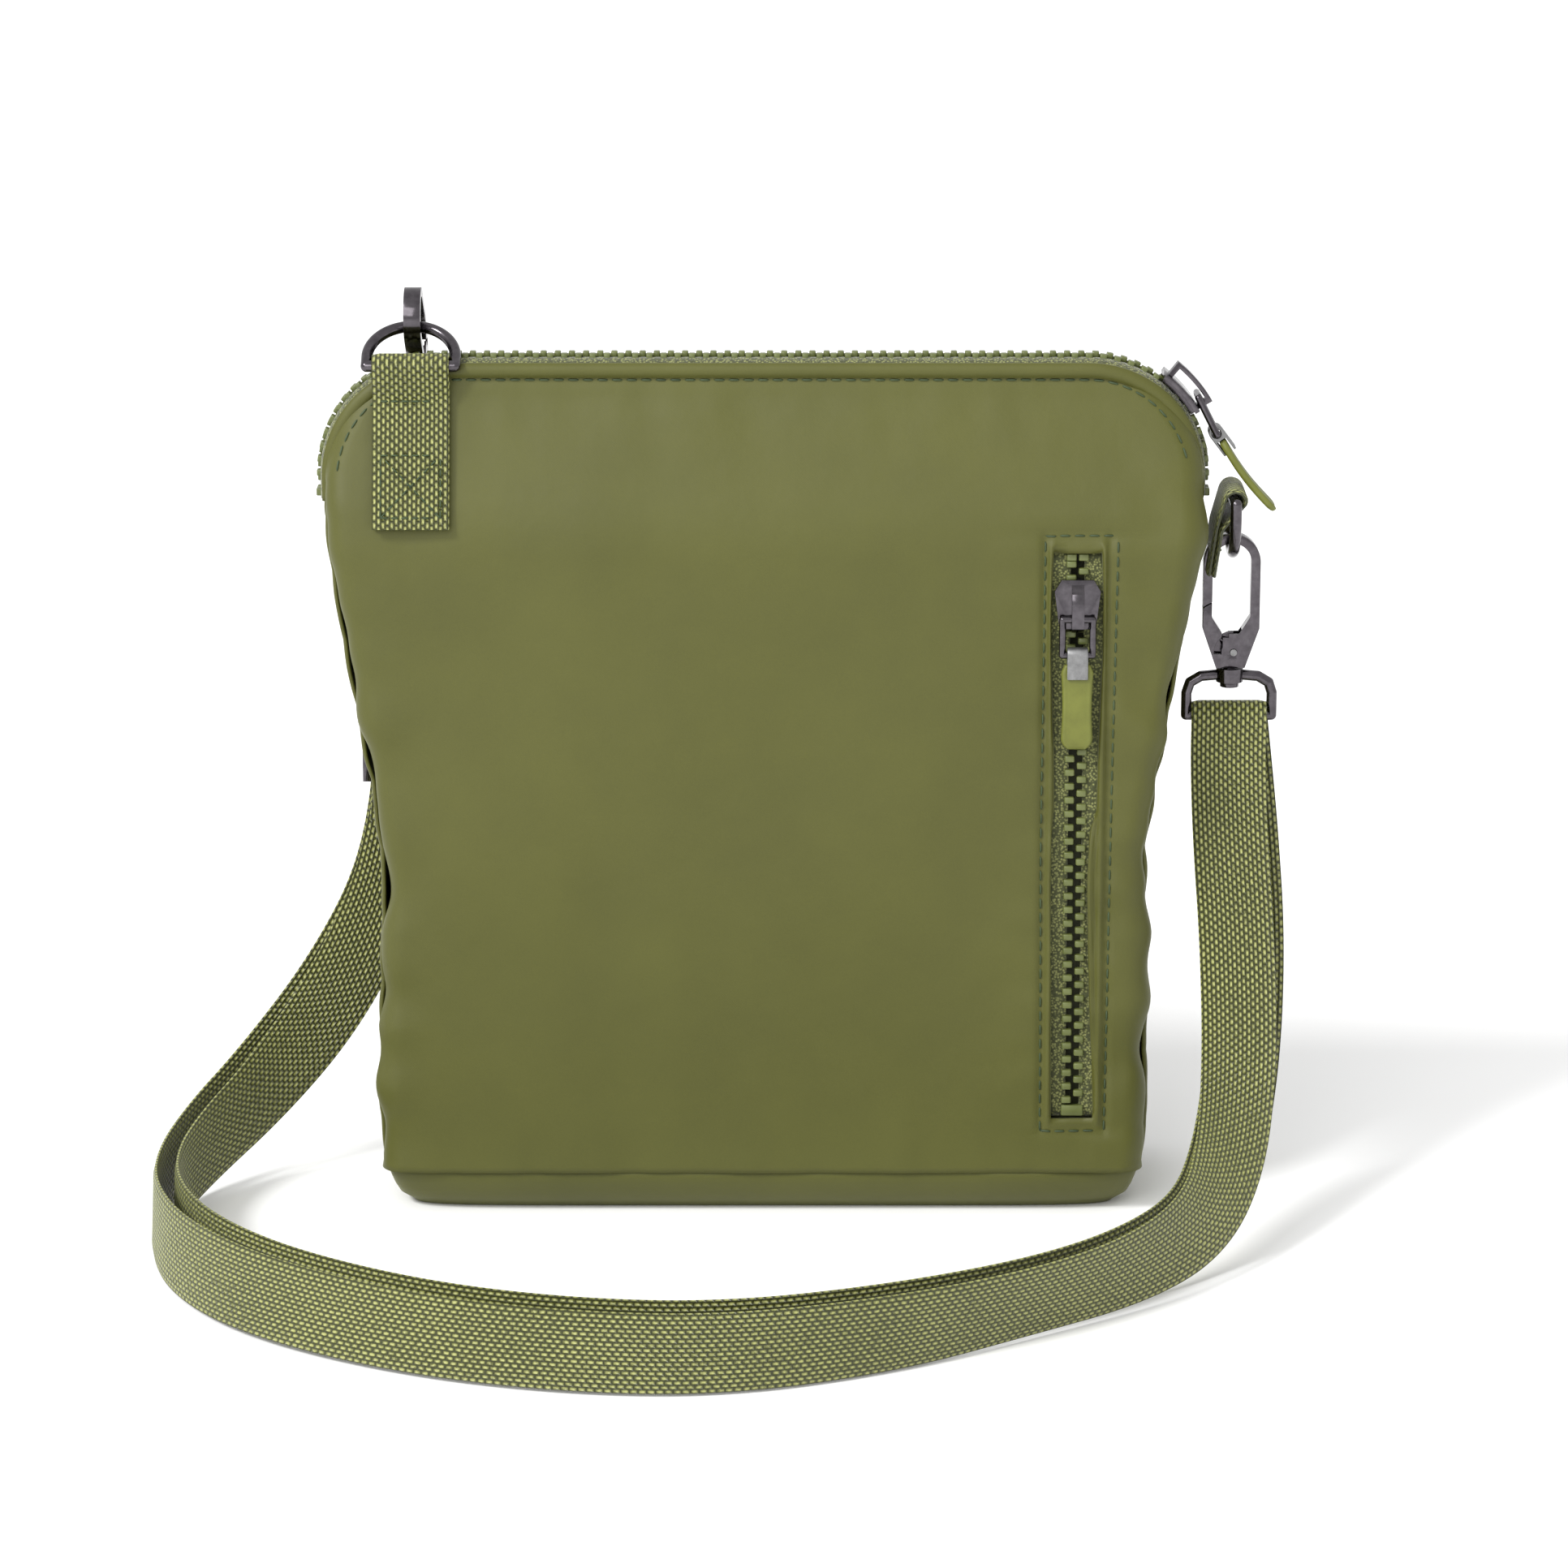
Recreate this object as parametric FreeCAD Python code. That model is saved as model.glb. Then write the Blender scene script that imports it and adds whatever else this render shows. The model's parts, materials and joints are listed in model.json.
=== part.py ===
import FreeCAD, Part
import math
import os

os.makedirs("parts", exist_ok=True)

V = FreeCAD.Vector
X, Y, Z = V(1, 0, 0), V(0, 1, 0), V(0, 0, 1)
ORIGIN = V(0, 0, 0)

# All sizes are in millimetres. The bag stands on z = 0 with its rear panel, the one with
# the upright zip pocket, facing -Y and its quilted front facing +Y.

# Bag shell: (height, half width, half depth behind the zip plane, extra depth of the padded front)
SECTIONS = [
    (0, 94.0, 20.0, 0.0),
    (4, 98.0, 25.0, 1.5),
    (10, 99.0, 28.0, 3.0),
    (60, 99.0, 25.43, 4.0),
    (100, 98.5, 23.37, 4.0),
    (131, 104.0, 21.78, 4.0),
    (161, 110.5, 20.23, 3.5),
    (185, 114.6, 19.0, 3.0),
    (196.5, 115.0, 15.29, 2.2),
    (206, 113.5, 12.23, 1.5),
    (214, 109.4, 9.65, 0.8),
    (221, 102.3, 7.4, 0.3),
    (226.3, 88.0, 6.3, 0.0),
]
CORNER = 5.0
WALL = 2.5
BASE_HEIGHT = 12.0
GUSSET_INSET = 7.0
GUSSET_TOP = 190.0
LINING_GAP = 0.3
LINING_WALL = 0.6
POCKET_DEPTH = 9.2
SLOT_HALF = 4.9

# Moulded zip chain, the same on the bag's mouth and on the pocket
CHAIN_HALF = 2.9
CHAIN_GAP = 0.3
CHAIN_THICK = 2.2
TOOTH = 1.7
PITCH = 3.7
TAPE_IN = 2.2
TAPE_OUT = 4.7
TAPE_THICK = 0.8
SLIDER_LENGTH = 13.0
BRIDGE_HALF = 1.6

# Mouth zip: up one side, round each shoulder and across the top
SHOULDER_X = 85.0
SHOULDER_Z = 196.5
CHAIN_RADIUS = 32.0
ZIP_LEG = 6.0
SLIDER_ANGLE = 42.0

# Pocket zip, on the sloping lower part of the rear panel
POCKET_X = 82.0
FACE_FOOT = V(0, -28, 10)
FACE_TILT = -math.degrees(math.atan2(9.0, 175.0))
WINDOW_LOW, WINDOW_HIGH = 17.0, 169.5
WINDOW_HALF = 5.0
POCKET_SLIDER_V = 155.8

# Webbing and its metal fittings
WEB = 20.0
WEB_THICK = 1.4
RING_WIRE = 1.5
RING_HALF = 11.5
RING_LEG = 3.5
RING_REACH = RING_LEG + RING_HALF
TAB_SLEEVE = 3.1
SLEEVE_BORE = 1.8
HOOK_THICK = 4.4
HOOK_HALF = 7.5
EYE_HALF = 5.1
EYE_TOP = 2.5
POST = 1.55
HOOK_FOOT = -31.2
LOOP_WIRE = 1.4
LOOP_HALF = 11.3
LOOP_BAR = -44.5
RIVET_X, RIVET_Z, RIVET_R = 0.8, -27.0, 0.9
GATE_RADIUS = 14.6
GATE_GAP = 0.3

TAB_LEFT_X = -91.5
UPPER_FOOT = V(TAB_LEFT_X, -19, 185)
UPPER_TILT = -math.degrees(math.atan2(11.6, 36.0))
RING_LEFT_BAR = V(TAB_LEFT_X, -9.5, 226.5)
RING_LEFT_RISE = 33.0
HOOK_LEFT_LEAN = 55.0
RING_RIGHT_BAR = V(123.6, 0, 190.2)

SLIDE_CENTRE = V(-96, 37, 112)
SLIDE_BAR = 1.1

# Strap routes: centre point, then the direction across the webbing (towards its upper or left edge)
LONG_RUN = [
    (-91.5, 36.6, 187.0, -1, 0, 0),
    (-91.5, 36.4, 201.0, -1, 0, 0),
    (-91.5, 36.2, 216.6, -1, 0, 0),
    (-91.5, 42.6, 216.6, -1, 0, 0),
    (-91.5, 39.8, 202.0, -1, 0, 0),
    (-91.6, 38.4, 186.0, -1, 0, 0),
    (-92.6, 37.6, 160.0, -1, 0, 0),
    (-94.6, 37.0, 136.0, -1, 0, 0.05),
    (-96.2, 37.0, 112.0, -1, 0, 0.08),
    (-98.6, 36.4, 91.0, -1, 0, 0.15),
    (-103.6, 34.0, 73.0, -0.92, 0, 0.38),
    (-112.0, 29.5, 57.0, -0.85, -0.05, 0.53),
    (-123.5, 21.5, 41.0, -0.7, -0.1, 0.7),
    (-138.5, 9.0, 26.0, -0.4, -0.2, 0.9),
    (-152.5, -8.0, 15.5, -0.15, -0.1, 0.98),
    (-160.0, -31.0, 11.0, 0, 0, 1),
    (-159.5, -60.0, 10.8, 0.05, 0.1, 0.99),
    (-149.0, -92.0, 10.8, 0.1, 0.3, 0.95),
    (-126.0, -121.0, 10.8, 0.15, 0.4, 0.9),
    (-88.0, -146.5, 10.8, 0.05, 0.25, 0.97),
    (-47.0, -159.5, 10.8, 0, 0.2, 0.98),
    (-8.0, -161.5, 10.8, 0, 0.1, 0.99),
    (34.0, -146.5, 10.8, 0, -0.05, 1),
    (69.0, -124.0, 11.0, 0, -0.3, 0.95),
    (96.0, -102.5, 12.0, -0.15, -0.2, 0.97),
    (114.0, -80.0, 16.0, -0.5, 0, 0.85),
    (122.5, -55.0, 26.0, -0.85, 0, 0.5),
    (126.0, -31.0, 45.0, -0.97, 0, 0.22),
    (126.0, -15.0, 72.0, -1, 0, 0),
    (124.2, -7.0, 98.0, -1, 0, 0),
    (123.4, -3.6, 119.0, -1, 0, 0),
    (123.6, -3.1, 133.8, -1, 0, 0),
    (123.6, 0.0, 134.0, -1, 0, 0),
]
RETURN_RUN = [
    (123.6, 0.0, 134.0, -1, 0, 0),
    (123.6, 3.1, 133.8, -1, 0, 0),
    (125.4, 3.4, 119.0, -1, 0, 0),
    (127.6, 0.5, 98.0, -1, 0, 0),
    (129.2, -9.0, 71.0, -1, 0, 0),
    (127.2, -26.5, 42.5, -0.97, 0, 0.22),
    (121.2, -52.0, 22.4, -0.85, 0, 0.5),
    (110.6, -77.5, 13.8, -0.5, 0, 0.85),
    (91.5, -98.0, 11.4, -0.15, -0.2, 0.97),
    (65.0, -117.5, 10.8, 0, -0.3, 0.95),
    (31.0, -138.5, 10.8, 0, -0.05, 1),
    (-8.0, -152.0, 10.8, 0, 0.1, 0.99),
    (-45.0, -150.5, 10.8, 0, 0.2, 0.98),
    (-84.0, -138.0, 10.8, 0.05, 0.25, 0.97),
    (-120.5, -114.0, 10.8, 0.15, 0.4, 0.9),
    (-142.5, -88.0, 10.8, 0.1, 0.3, 0.95),
    (-153.5, -59.0, 10.8, 0.05, 0.1, 0.99),
    (-155.0, -33.0, 11.0, 0, 0, 1),
    (-148.5, -13.0, 15.0, -0.15, -0.1, 0.98),
    (-135.5, 3.5, 24.5, -0.4, -0.2, 0.9),
    (-121.0, 17.5, 40.0, -0.7, -0.1, 0.7),
    (-110.5, 26.5, 56.5, -0.85, -0.05, 0.53),
    (-102.8, 31.8, 73.0, -0.92, 0, 0.38),
    (-98.4, 34.2, 91.0, -1, 0, 0.15),
    (-96.4, 35.2, 103.0, -1, 0, 0.08),
    (-96.0, 35.5, 115.0, -1, 0, 0),
    (-96.0, 30.0, 115.0, -1, 0, 0),
    (-96.4, 30.9, 102.0, -1, 0, 0.08),
    (-97.6, 31.6, 92.0, -1, 0, 0.12),
]

parts = {}


def box(x0, x1, y0, y1, z0, z1):
    return Part.makeBox(x1 - x0, y1 - y0, z1 - z0, V(x0, y0, z0))


def prism(points, direction):
    """A flat outline pushed along a direction."""
    wire = Part.makePolygon([*points, points[0]])
    return Part.Face(wire).extrude(direction)


def fuse(shapes):
    whole = shapes[0]
    if len(shapes) > 1:
        whole = whole.multiFuse(shapes[1:])
    return whole.removeSplitter()


def rod(a, b, radius):
    return Part.makeCylinder(radius, (b - a).Length, a, b - a)


def bent_rod(points, radius):
    """Round wire along straight runs, with a ball at each inner corner."""
    runs = [rod(a, b, radius) for a, b in zip(points, points[1:])]
    corners = [Part.makeSphere(radius, p) for p in points[1:-1]]
    return fuse(runs + corners)


def placed(shape, rotation, at):
    moved = shape.copy()
    moved.Placement = FreeCAD.Placement(at, rotation).multiply(moved.Placement)
    return moved


# ---------------------------------------------------------------- bag shell


def section(height, half_width, rear, front, corner):
    """One level rounded rectangle of the shell, from y = -rear to y = front."""
    c = min(corner, rear - 0.4, front - 0.4)
    x, k = half_width, c * math.sqrt(0.5)
    edges = []
    corners = [(x - c, front - c, 1, 1), (c - x, front - c, -1, 1)]
    corners += [(c - x, c - rear, -1, -1), (x - c, c - rear, 1, -1)]
    for i, (cx, cy, sx, sy) in enumerate(corners):
        side, face = V(cx + sx * c, cy, height), V(cx, cy + sy * c, height)
        start, end = (side, face) if i % 2 == 0 else (face, side)
        middle = V(cx + sx * k, cy + sy * k, height)
        edges.append(Part.Arc(start, middle, end).toShape())
        nx, ny, tx, ty = corners[(i + 1) % 4]
        next_side, next_face = V(nx + tx * c, ny, height), V(nx, ny + ty * c, height)
        following = next_face if i % 2 == 0 else next_side
        edges.append(Part.LineSegment(end, following).toShape())
    return Part.Wire(edges)


def shell_solid(inset, rear_inset, lift):
    """The shell's outer shape, or the same shape drawn in by a wall."""
    wires = []
    for height, half, rear, pad in SECTIONS:
        z = height + (lift if height == 0 else 0)
        if height == SECTIONS[-1][0]:
            z = height - lift
        back, front = rear - rear_inset, rear + pad - inset
        wires.append(section(z, half - inset, back, front, max(CORNER - inset, 1.0)))
    return Part.makeLoft(wires, True, True)


def arc_block(side, r0, r1, y0, y1, low, high):
    """A block bent round a shoulder, between two angles above the horizontal."""
    corners = [V(r0, y0, 0), V(r1, y0, 0), V(r1, y1, 0), V(r0, y1, 0)]
    face = Part.Face(Part.makePolygon([*corners, corners[0]]))
    face.rotate(ORIGIN, Y, -low)
    solid = face.revolve(ORIGIN, -Y, high - low)
    if side < 0:
        solid = solid.mirror(ORIGIN, X)
    solid.translate(V(side * SHOULDER_X, 0, SHOULDER_Z))
    return solid


def on_face(shape):
    """From the pocket's own axes (across, outwards = -Y, up the face) to the rear panel."""
    return placed(shape, FreeCAD.Rotation(X, FACE_TILT), V(POCKET_X, FACE_FOOT.y, FACE_FOOT.z))


def gusset_zone(side):
    """The strip of side wall between the two panels."""
    rear, front = [], []
    for height, _, back, pad in SECTIONS[2:8]:
        z = max(height, BASE_HEIGHT)
        rear.append(V(60 * side, GUSSET_INSET - back, z))
        front.append(V(60 * side, back + pad - GUSSET_INSET, z))
    rear.append(V(60 * side, -8.0, GUSSET_TOP))
    front.append(V(60 * side, 8.0, GUSSET_TOP))
    return prism(rear + front[::-1], V(70 * side, 0, 0))


def make_shell():
    outer = shell_solid(0, 0, 0)
    inner = shell_solid(WALL, WALL, WALL)
    wall = outer.cut(inner)
    for piece in mouth_band(22, 36, -SLOT_HALF, SLOT_HALF):
        wall = wall.cut(piece)
    window = on_face(box(-WINDOW_HALF, WINDOW_HALF, -5, 5, WINDOW_LOW, WINDOW_HIGH))
    floor_zone = box(-130, 130, -60, 60, -5, BASE_HEIGHT)
    left, right = gusset_zone(-1), gusset_zone(1)
    parts["bottom_panel"] = wall.common(floor_zone)
    rest = wall.cut(floor_zone)
    parts["gusset_left"] = rest.common(left)
    parts["gusset_right"] = rest.common(right)
    faces = rest.cut(left).cut(right)
    parts["rear_panel"] = faces.common(box(-130, 130, -60, 0, 0, 240)).cut(window)
    parts["front_panel"] = faces.common(box(-130, 130, 0, 60, 0, 240))


def make_lining():
    """A thin skin inside the shell that leaves room for the pocket behind the rear panel."""
    gap = WALL + LINING_GAP
    outer = shell_solid_lining(gap, POCKET_DEPTH)
    inner = shell_solid_lining(gap + LINING_WALL, POCKET_DEPTH + LINING_WALL)
    parts["lining"] = outer.cut(inner).cut(box(-130, 130, -60, 60, LINING_TOP, 240))


LINING_TOP = 190.0


def shell_solid_lining(inset, rear_inset):
    wires = []
    for height, half, rear, pad in SECTIONS[:9]:
        z = max(height, inset)
        wires.append(section(z, half - inset, rear - rear_inset, rear + pad - inset, 2.0))
    return Part.makeLoft(wires, True, True)


def make_pocket_bag():
    """The flat pocket behind the rear panel, open towards the pocket zip."""
    across, low, high = (-150, 8), 8, 174
    outer = box(across[0], across[1], 4.5, 8.6, low, high)
    hollow = box(across[0] + 1, across[1] - 1, 5.3, 7.8, low + 1, high - 1)
    mouth = box(-WINDOW_HALF, WINDOW_HALF, 4, 6, WINDOW_LOW, WINDOW_HIGH)
    parts["pocket_bag"] = on_face(outer.cut(hollow).cut(mouth))


# ---------------------------------------------------------------- zips


def along_mouth(distance):
    """(side or 0 for the top, place) for a distance from the middle of the mouth zip."""
    side = 1 if distance >= 0 else -1
    d = abs(distance)
    if d <= SHOULDER_X:
        return 0, side * d
    radius = CHAIN_RADIUS - CHAIN_THICK / 2
    angle = 90 - math.degrees((d - SHOULDER_X) / radius)
    return side, angle


def mouth_block(distance, length, r0, r1, y0, y1):
    """A short block of the mouth zip centred at a distance from its middle."""
    side, place = along_mouth(distance)
    if side == 0:
        x = place
        return box(x - length / 2, x + length / 2, y0, y1, SHOULDER_Z + r0, SHOULDER_Z + r1)
    radius = CHAIN_RADIUS - CHAIN_THICK / 2
    half = math.degrees(length / 2 / radius)
    if place - half >= 0:
        return arc_block(side, r0, r1, y0, y1, place - half, place + half)
    z = SHOULDER_Z + math.radians(place) * radius
    x0, x1 = sorted((side * (SHOULDER_X + r0), side * (SHOULDER_X + r1)))
    return box(x0, x1, y0, y1, z - length / 2, z + length / 2)


def make_mouth_zip():
    radius = CHAIN_RADIUS - CHAIN_THICK / 2
    half_run = SHOULDER_X + radius * math.pi / 2 + ZIP_LEG - 2
    tape_low = radius - TAPE_THICK / 2 - 0.2
    tape_high = tape_low + TAPE_THICK
    r0, r1 = CHAIN_RADIUS - CHAIN_THICK, CHAIN_RADIUS
    count = int(half_run / PITCH)
    for name, side, shift in (("rear", -1, 0.0), ("front", 1, PITCH / 2)):
        y0, y1 = sorted((side * TAPE_IN, side * TAPE_OUT))
        parts[f"main_zip_tape_{name}"] = fuse(mouth_band(tape_low, tape_high, y0, y1))
        y0, y1 = sorted((side * CHAIN_GAP, side * CHAIN_HALF))
        teeth = []
        for i in range(-count, count + 1):
            d = i * PITCH + shift
            if abs(d) < half_run - TOOTH:
                teeth.append(mouth_block(d, TOOTH, r0, r1, y0, y1))
        parts[f"main_zip_teeth_{name}"] = Part.makeCompound(teeth)
    stops = []
    for end in (-1, 1):
        for y in (-1, 1):
            y0, y1 = sorted((y * CHAIN_GAP, y * CHAIN_HALF))
            stops.append(mouth_block(end * (half_run + 0.8), 2.0, r0 - 0.2, r1 + 0.2, y0, y1))
    parts["main_zip_end_stops"] = Part.makeCompound(stops)


def mouth_band(inner, outer, y0, y1):
    """The pieces of a band that follows the mouth zip round both shoulders."""
    foot = SHOULDER_Z - ZIP_LEG
    pieces = [box(-SHOULDER_X, SHOULDER_X, y0, y1, SHOULDER_Z + inner, SHOULDER_Z + outer)]
    for side in (-1, 1):
        pieces.append(arc_block(side, inner, outer, y0, y1, 0, 90))
        x0, x1 = sorted((side * (SHOULDER_X + inner), side * (SHOULDER_X + outer)))
        pieces.append(box(x0, x1, y0, y1, foot, SHOULDER_Z))
    return pieces


def make_pocket_zip():
    top = -0.2
    for name, side, shift in (("left", -1, 0.0), ("right", 1, PITCH / 2)):
        x0, x1 = sorted((side * TAPE_IN, side * TAPE_OUT))
        tape = box(x0, x1, 0.9, 0.9 + TAPE_THICK, WINDOW_LOW + 0.4, WINDOW_HIGH - 0.4)
        parts[f"pocket_zip_tape_{name}"] = on_face(tape)
        x0, x1 = sorted((side * CHAIN_GAP, side * CHAIN_HALF))
        teeth = []
        z = WINDOW_LOW + 4 + shift
        while z < WINDOW_HIGH - 3:
            teeth.append(on_face(box(x0, x1, -top, CHAIN_THICK - top, z, z + TOOTH)))
            z += PITCH
        parts[f"pocket_zip_teeth_{name}"] = Part.makeCompound(teeth)
    stops = [box(-CHAIN_HALF, CHAIN_HALF, 0.1, 2.6, WINDOW_LOW + 0.6, WINDOW_LOW + 3.4)]
    for side in (-1, 1):
        x0, x1 = sorted((side * CHAIN_GAP, side * CHAIN_HALF))
        stops.append(box(x0, x1, 0.1, 2.6, WINDOW_HIGH - 2.4, WINDOW_HIGH - 0.6))
    parts["pocket_zip_end_stops"] = Part.makeCompound([on_face(s) for s in stops])


def slider_at_origin(top, bottom, half):
    """A slider for a straight chain: plates, rails, neck and bridge. Outwards is -Y, up is +Z."""
    end = SLIDER_LENGTH / 2
    plate = prism(
        [
            V(-half, -top, end - 3),
            V(-half + 1.8, -top, end),
            V(half - 1.8, -top, end),
            V(half, -top, end - 3),
            V(half - 1.3, -top, -end),
            V(-half + 1.3, -top, -end),
        ],
        V(0, -1.3, 0),
    )
    rails = [box(s, s + 1.2, -top, 0.55, -end + 0.4, end - 0.6) for s in (-4.5, 3.3)]
    under = box(-4.5, 4.5, bottom, bottom + 1.2, -end + 0.4, end - 0.4)
    neck = box(-0.2, 0.2, -top, bottom, end - 3.4, end - 0.8)
    high = -top - 1.3
    bridge = prism(
        [
            V(-BRIDGE_HALF, high, end - 1.2),
            V(-BRIDGE_HALF, high - 3.2, end - 3.2),
            V(-BRIDGE_HALF, high - 3.8, 0.5),
            V(-BRIDGE_HALF, high - 3.2, -end + 0.6),
            V(-BRIDGE_HALF, high - 1.2, -end - 0.6),
            V(-BRIDGE_HALF, high - 1.2, -end + 0.7),
            V(-BRIDGE_HALF, high - 2.2, -end + 1.5),
            V(-BRIDGE_HALF, high - 2.6, 0.5),
            V(-BRIDGE_HALF, high - 2.2, end - 3.6),
            V(-BRIDGE_HALF, high, end - 3.2),
        ],
        V(2 * BRIDGE_HALF, 0, 0),
    )
    heel = box(-BRIDGE_HALF, BRIDGE_HALF, high - 1.4, high, -end, -end + 1.0)
    return fuse([plate, *rails, under, neck, bridge, heel])


def puller(prefix, place, link_length, tab_length, tab_turn):
    """Link, clamp and rubber tab hanging down -Z from the pin at the origin. place puts them on the bag."""
    half, wire = 3.95, 0.9
    foot = -link_length
    corners = [V(-half, 0, 0), V(half, 0, 0), V(half, 0, foot), V(-half, 0, foot)]
    loop = [corners[0], *corners[1:], corners[0]]
    ball = Part.makeSphere(wire, corners[0])
    parts[f"{prefix}_pull_link"] = place(fuse([bent_rod(loop, wire), ball]))
    turn = FreeCAD.Rotation(X, tab_turn)
    at = V(0, 0, foot)
    tab = box(-4.5, 4.5, -1.3, 1.3, -tab_length, -2.2)
    tip = Part.makeCylinder(4.5, 2.6, V(0, -1.3, -tab_length), Y)
    tab = fuse([tab, tip])
    clamp = box(-2.7, 2.7, -1.9, 1.9, -6.2, 0.4)
    clamp = fuse([clamp, Part.makeCylinder(1.9, 5.4, V(-2.7, 0, 0.2), X)])
    clamp = clamp.cut(Part.makeCylinder(1.2, 8, V(-4, 0, 0), X)).cut(tab)
    parts[f"{prefix}_pull_clamp"] = place(placed(clamp, turn, at))
    parts[f"{prefix}_pull_tab"] = place(placed(tab, turn, at))


PIN_DOWN = 4.6
PIN_OUT = 1.25


def make_pocket_puller():
    top, bottom = 0.3, 2.7
    body = slider_at_origin(top, bottom, 6.0)
    body.translate(V(0, 0, POCKET_SLIDER_V))
    parts["pocket_slider"] = on_face(body)
    pin = V(0, -top - 1.3 - PIN_OUT, POCKET_SLIDER_V - PIN_DOWN + 0.9)
    puller("pocket", lambda s: on_face(placed(s, FreeCAD.Rotation(), pin)), 9.4, 21.0, 0)


def shoulder_point(radius, angle):
    a = math.radians(angle)
    return V(SHOULDER_X + radius * math.cos(a), 0, SHOULDER_Z + radius * math.sin(a))


MAIN_PIN_RADIUS = 35.3
MAIN_PIN_ANGLE = SLIDER_ANGLE - 6.5
MAIN_PULL_LEAN = 27.0
MAIN_TAB_TURN = -10.0


def make_main_puller():
    """The mouth slider is bent round the shoulder that it rests on."""
    centre, half = SLIDER_ANGLE, math.degrees(SLIDER_LENGTH / 2 / 33)
    plate = arc_block(1, 32.5, 33.8, -5.8, 5.8, centre - half, centre + half)
    rails = [
        arc_block(1, 31.3, 32.6, y, y + 1.2, centre - half + 0.5, centre + half - 0.5)
        for y in (-4.5, 3.3)
    ]
    under = arc_block(1, 27.6, 29.2, -4.5, 4.5, centre - half + 0.5, centre + half - 0.5)
    neck = arc_block(1, 29.0, 32.6, -0.2, 0.2, centre - half + 1, centre - half + 5)
    posts = [
        arc_block(1, 33.6, 37.4, -BRIDGE_HALF, BRIDGE_HALF, a, a + 2.2)
        for a in (centre - half - 0.2, centre + half - 4)
    ]
    bar = arc_block(
        1, 36.6, 37.8, -BRIDGE_HALF, BRIDGE_HALF, centre - half - 0.2, centre + half - 1.8
    )
    parts["main_slider"] = fuse([plate, *rails, under, neck, *posts, bar])
    pin = shoulder_point(MAIN_PIN_RADIUS, MAIN_PIN_ANGLE)
    turn = FreeCAD.Rotation(Y, -MAIN_PULL_LEAN)
    # the puller's width runs along Y and its outer face looks to +X
    facing = turn.multiply(FreeCAD.Rotation(Z, 90))
    puller("main", lambda s: placed(s, facing, pin), 11.0, 22.0, MAIN_TAB_TURN)
    return pin


# ---------------------------------------------------------------- rings, hooks and tabs


def ring_at_origin():
    """D-ring with its bar along X through the origin and its bow towards -Z."""
    bow = Part.makeTorus(RING_HALF, RING_WIRE, ORIGIN, Y)
    bow = bow.common(box(-20, 20, -5, 5, -20, 0))
    bow.translate(V(0, 0, -RING_LEG))
    legs = [bent_rod([V(s * RING_HALF, 0, 0), V(s * RING_HALF, 0, -RING_LEG)], RING_WIRE) for s in (-1, 1)]
    bar = rod(V(-RING_HALF, 0, 0), V(RING_HALF, 0, 0), RING_WIRE)
    balls = [Part.makeSphere(RING_WIRE, V(s * RING_HALF, 0, 0)) for s in (-1, 1)]
    return fuse([bow, *legs, bar, *balls])


def tab_at_origin(length, reach, out):
    """Doubled webbing tab up +Z from the origin, with its sleeve round a ring bar. Outwards is -Y."""
    slab = box(-WEB / 2, WEB / 2, -2.9, -0.3, 0, length)
    neck = prism(
        [V(-WEB / 2, -0.3, length), V(-WEB / 2, -2.9, length), V(-WEB / 2, -out - 1, reach), V(-WEB / 2, -out + 1, reach)],
        V(WEB, 0, 0),
    )
    sleeve = rod(V(-WEB / 2, -out, reach), V(WEB / 2, -out, reach), TAB_SLEEVE)
    bore = rod(V(-WEB, -out, reach), V(WEB, -out, reach), SLEEVE_BORE)
    return fuse([slab, neck, sleeve]).cut(bore)


def hook_outline(half, top, foot_half, straight, foot):
    """Flat oval with a round top, straight sides and a tapering foot, in the XZ plane."""
    centre = top - half
    arc = Part.Arc(V(-half, 0, centre), V(0, 0, top), V(half, 0, centre)).toShape()
    points = [V(half, 0, centre), V(half, 0, straight), V(foot_half, 0, foot)]
    points += [V(-foot_half, 0, foot), V(-half, 0, straight), V(-half, 0, centre)]
    lines = [Part.LineSegment(a, b).toShape() for a, b in zip(points, points[1:])]
    return Part.Face(Part.Wire([arc, *lines]))


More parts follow.
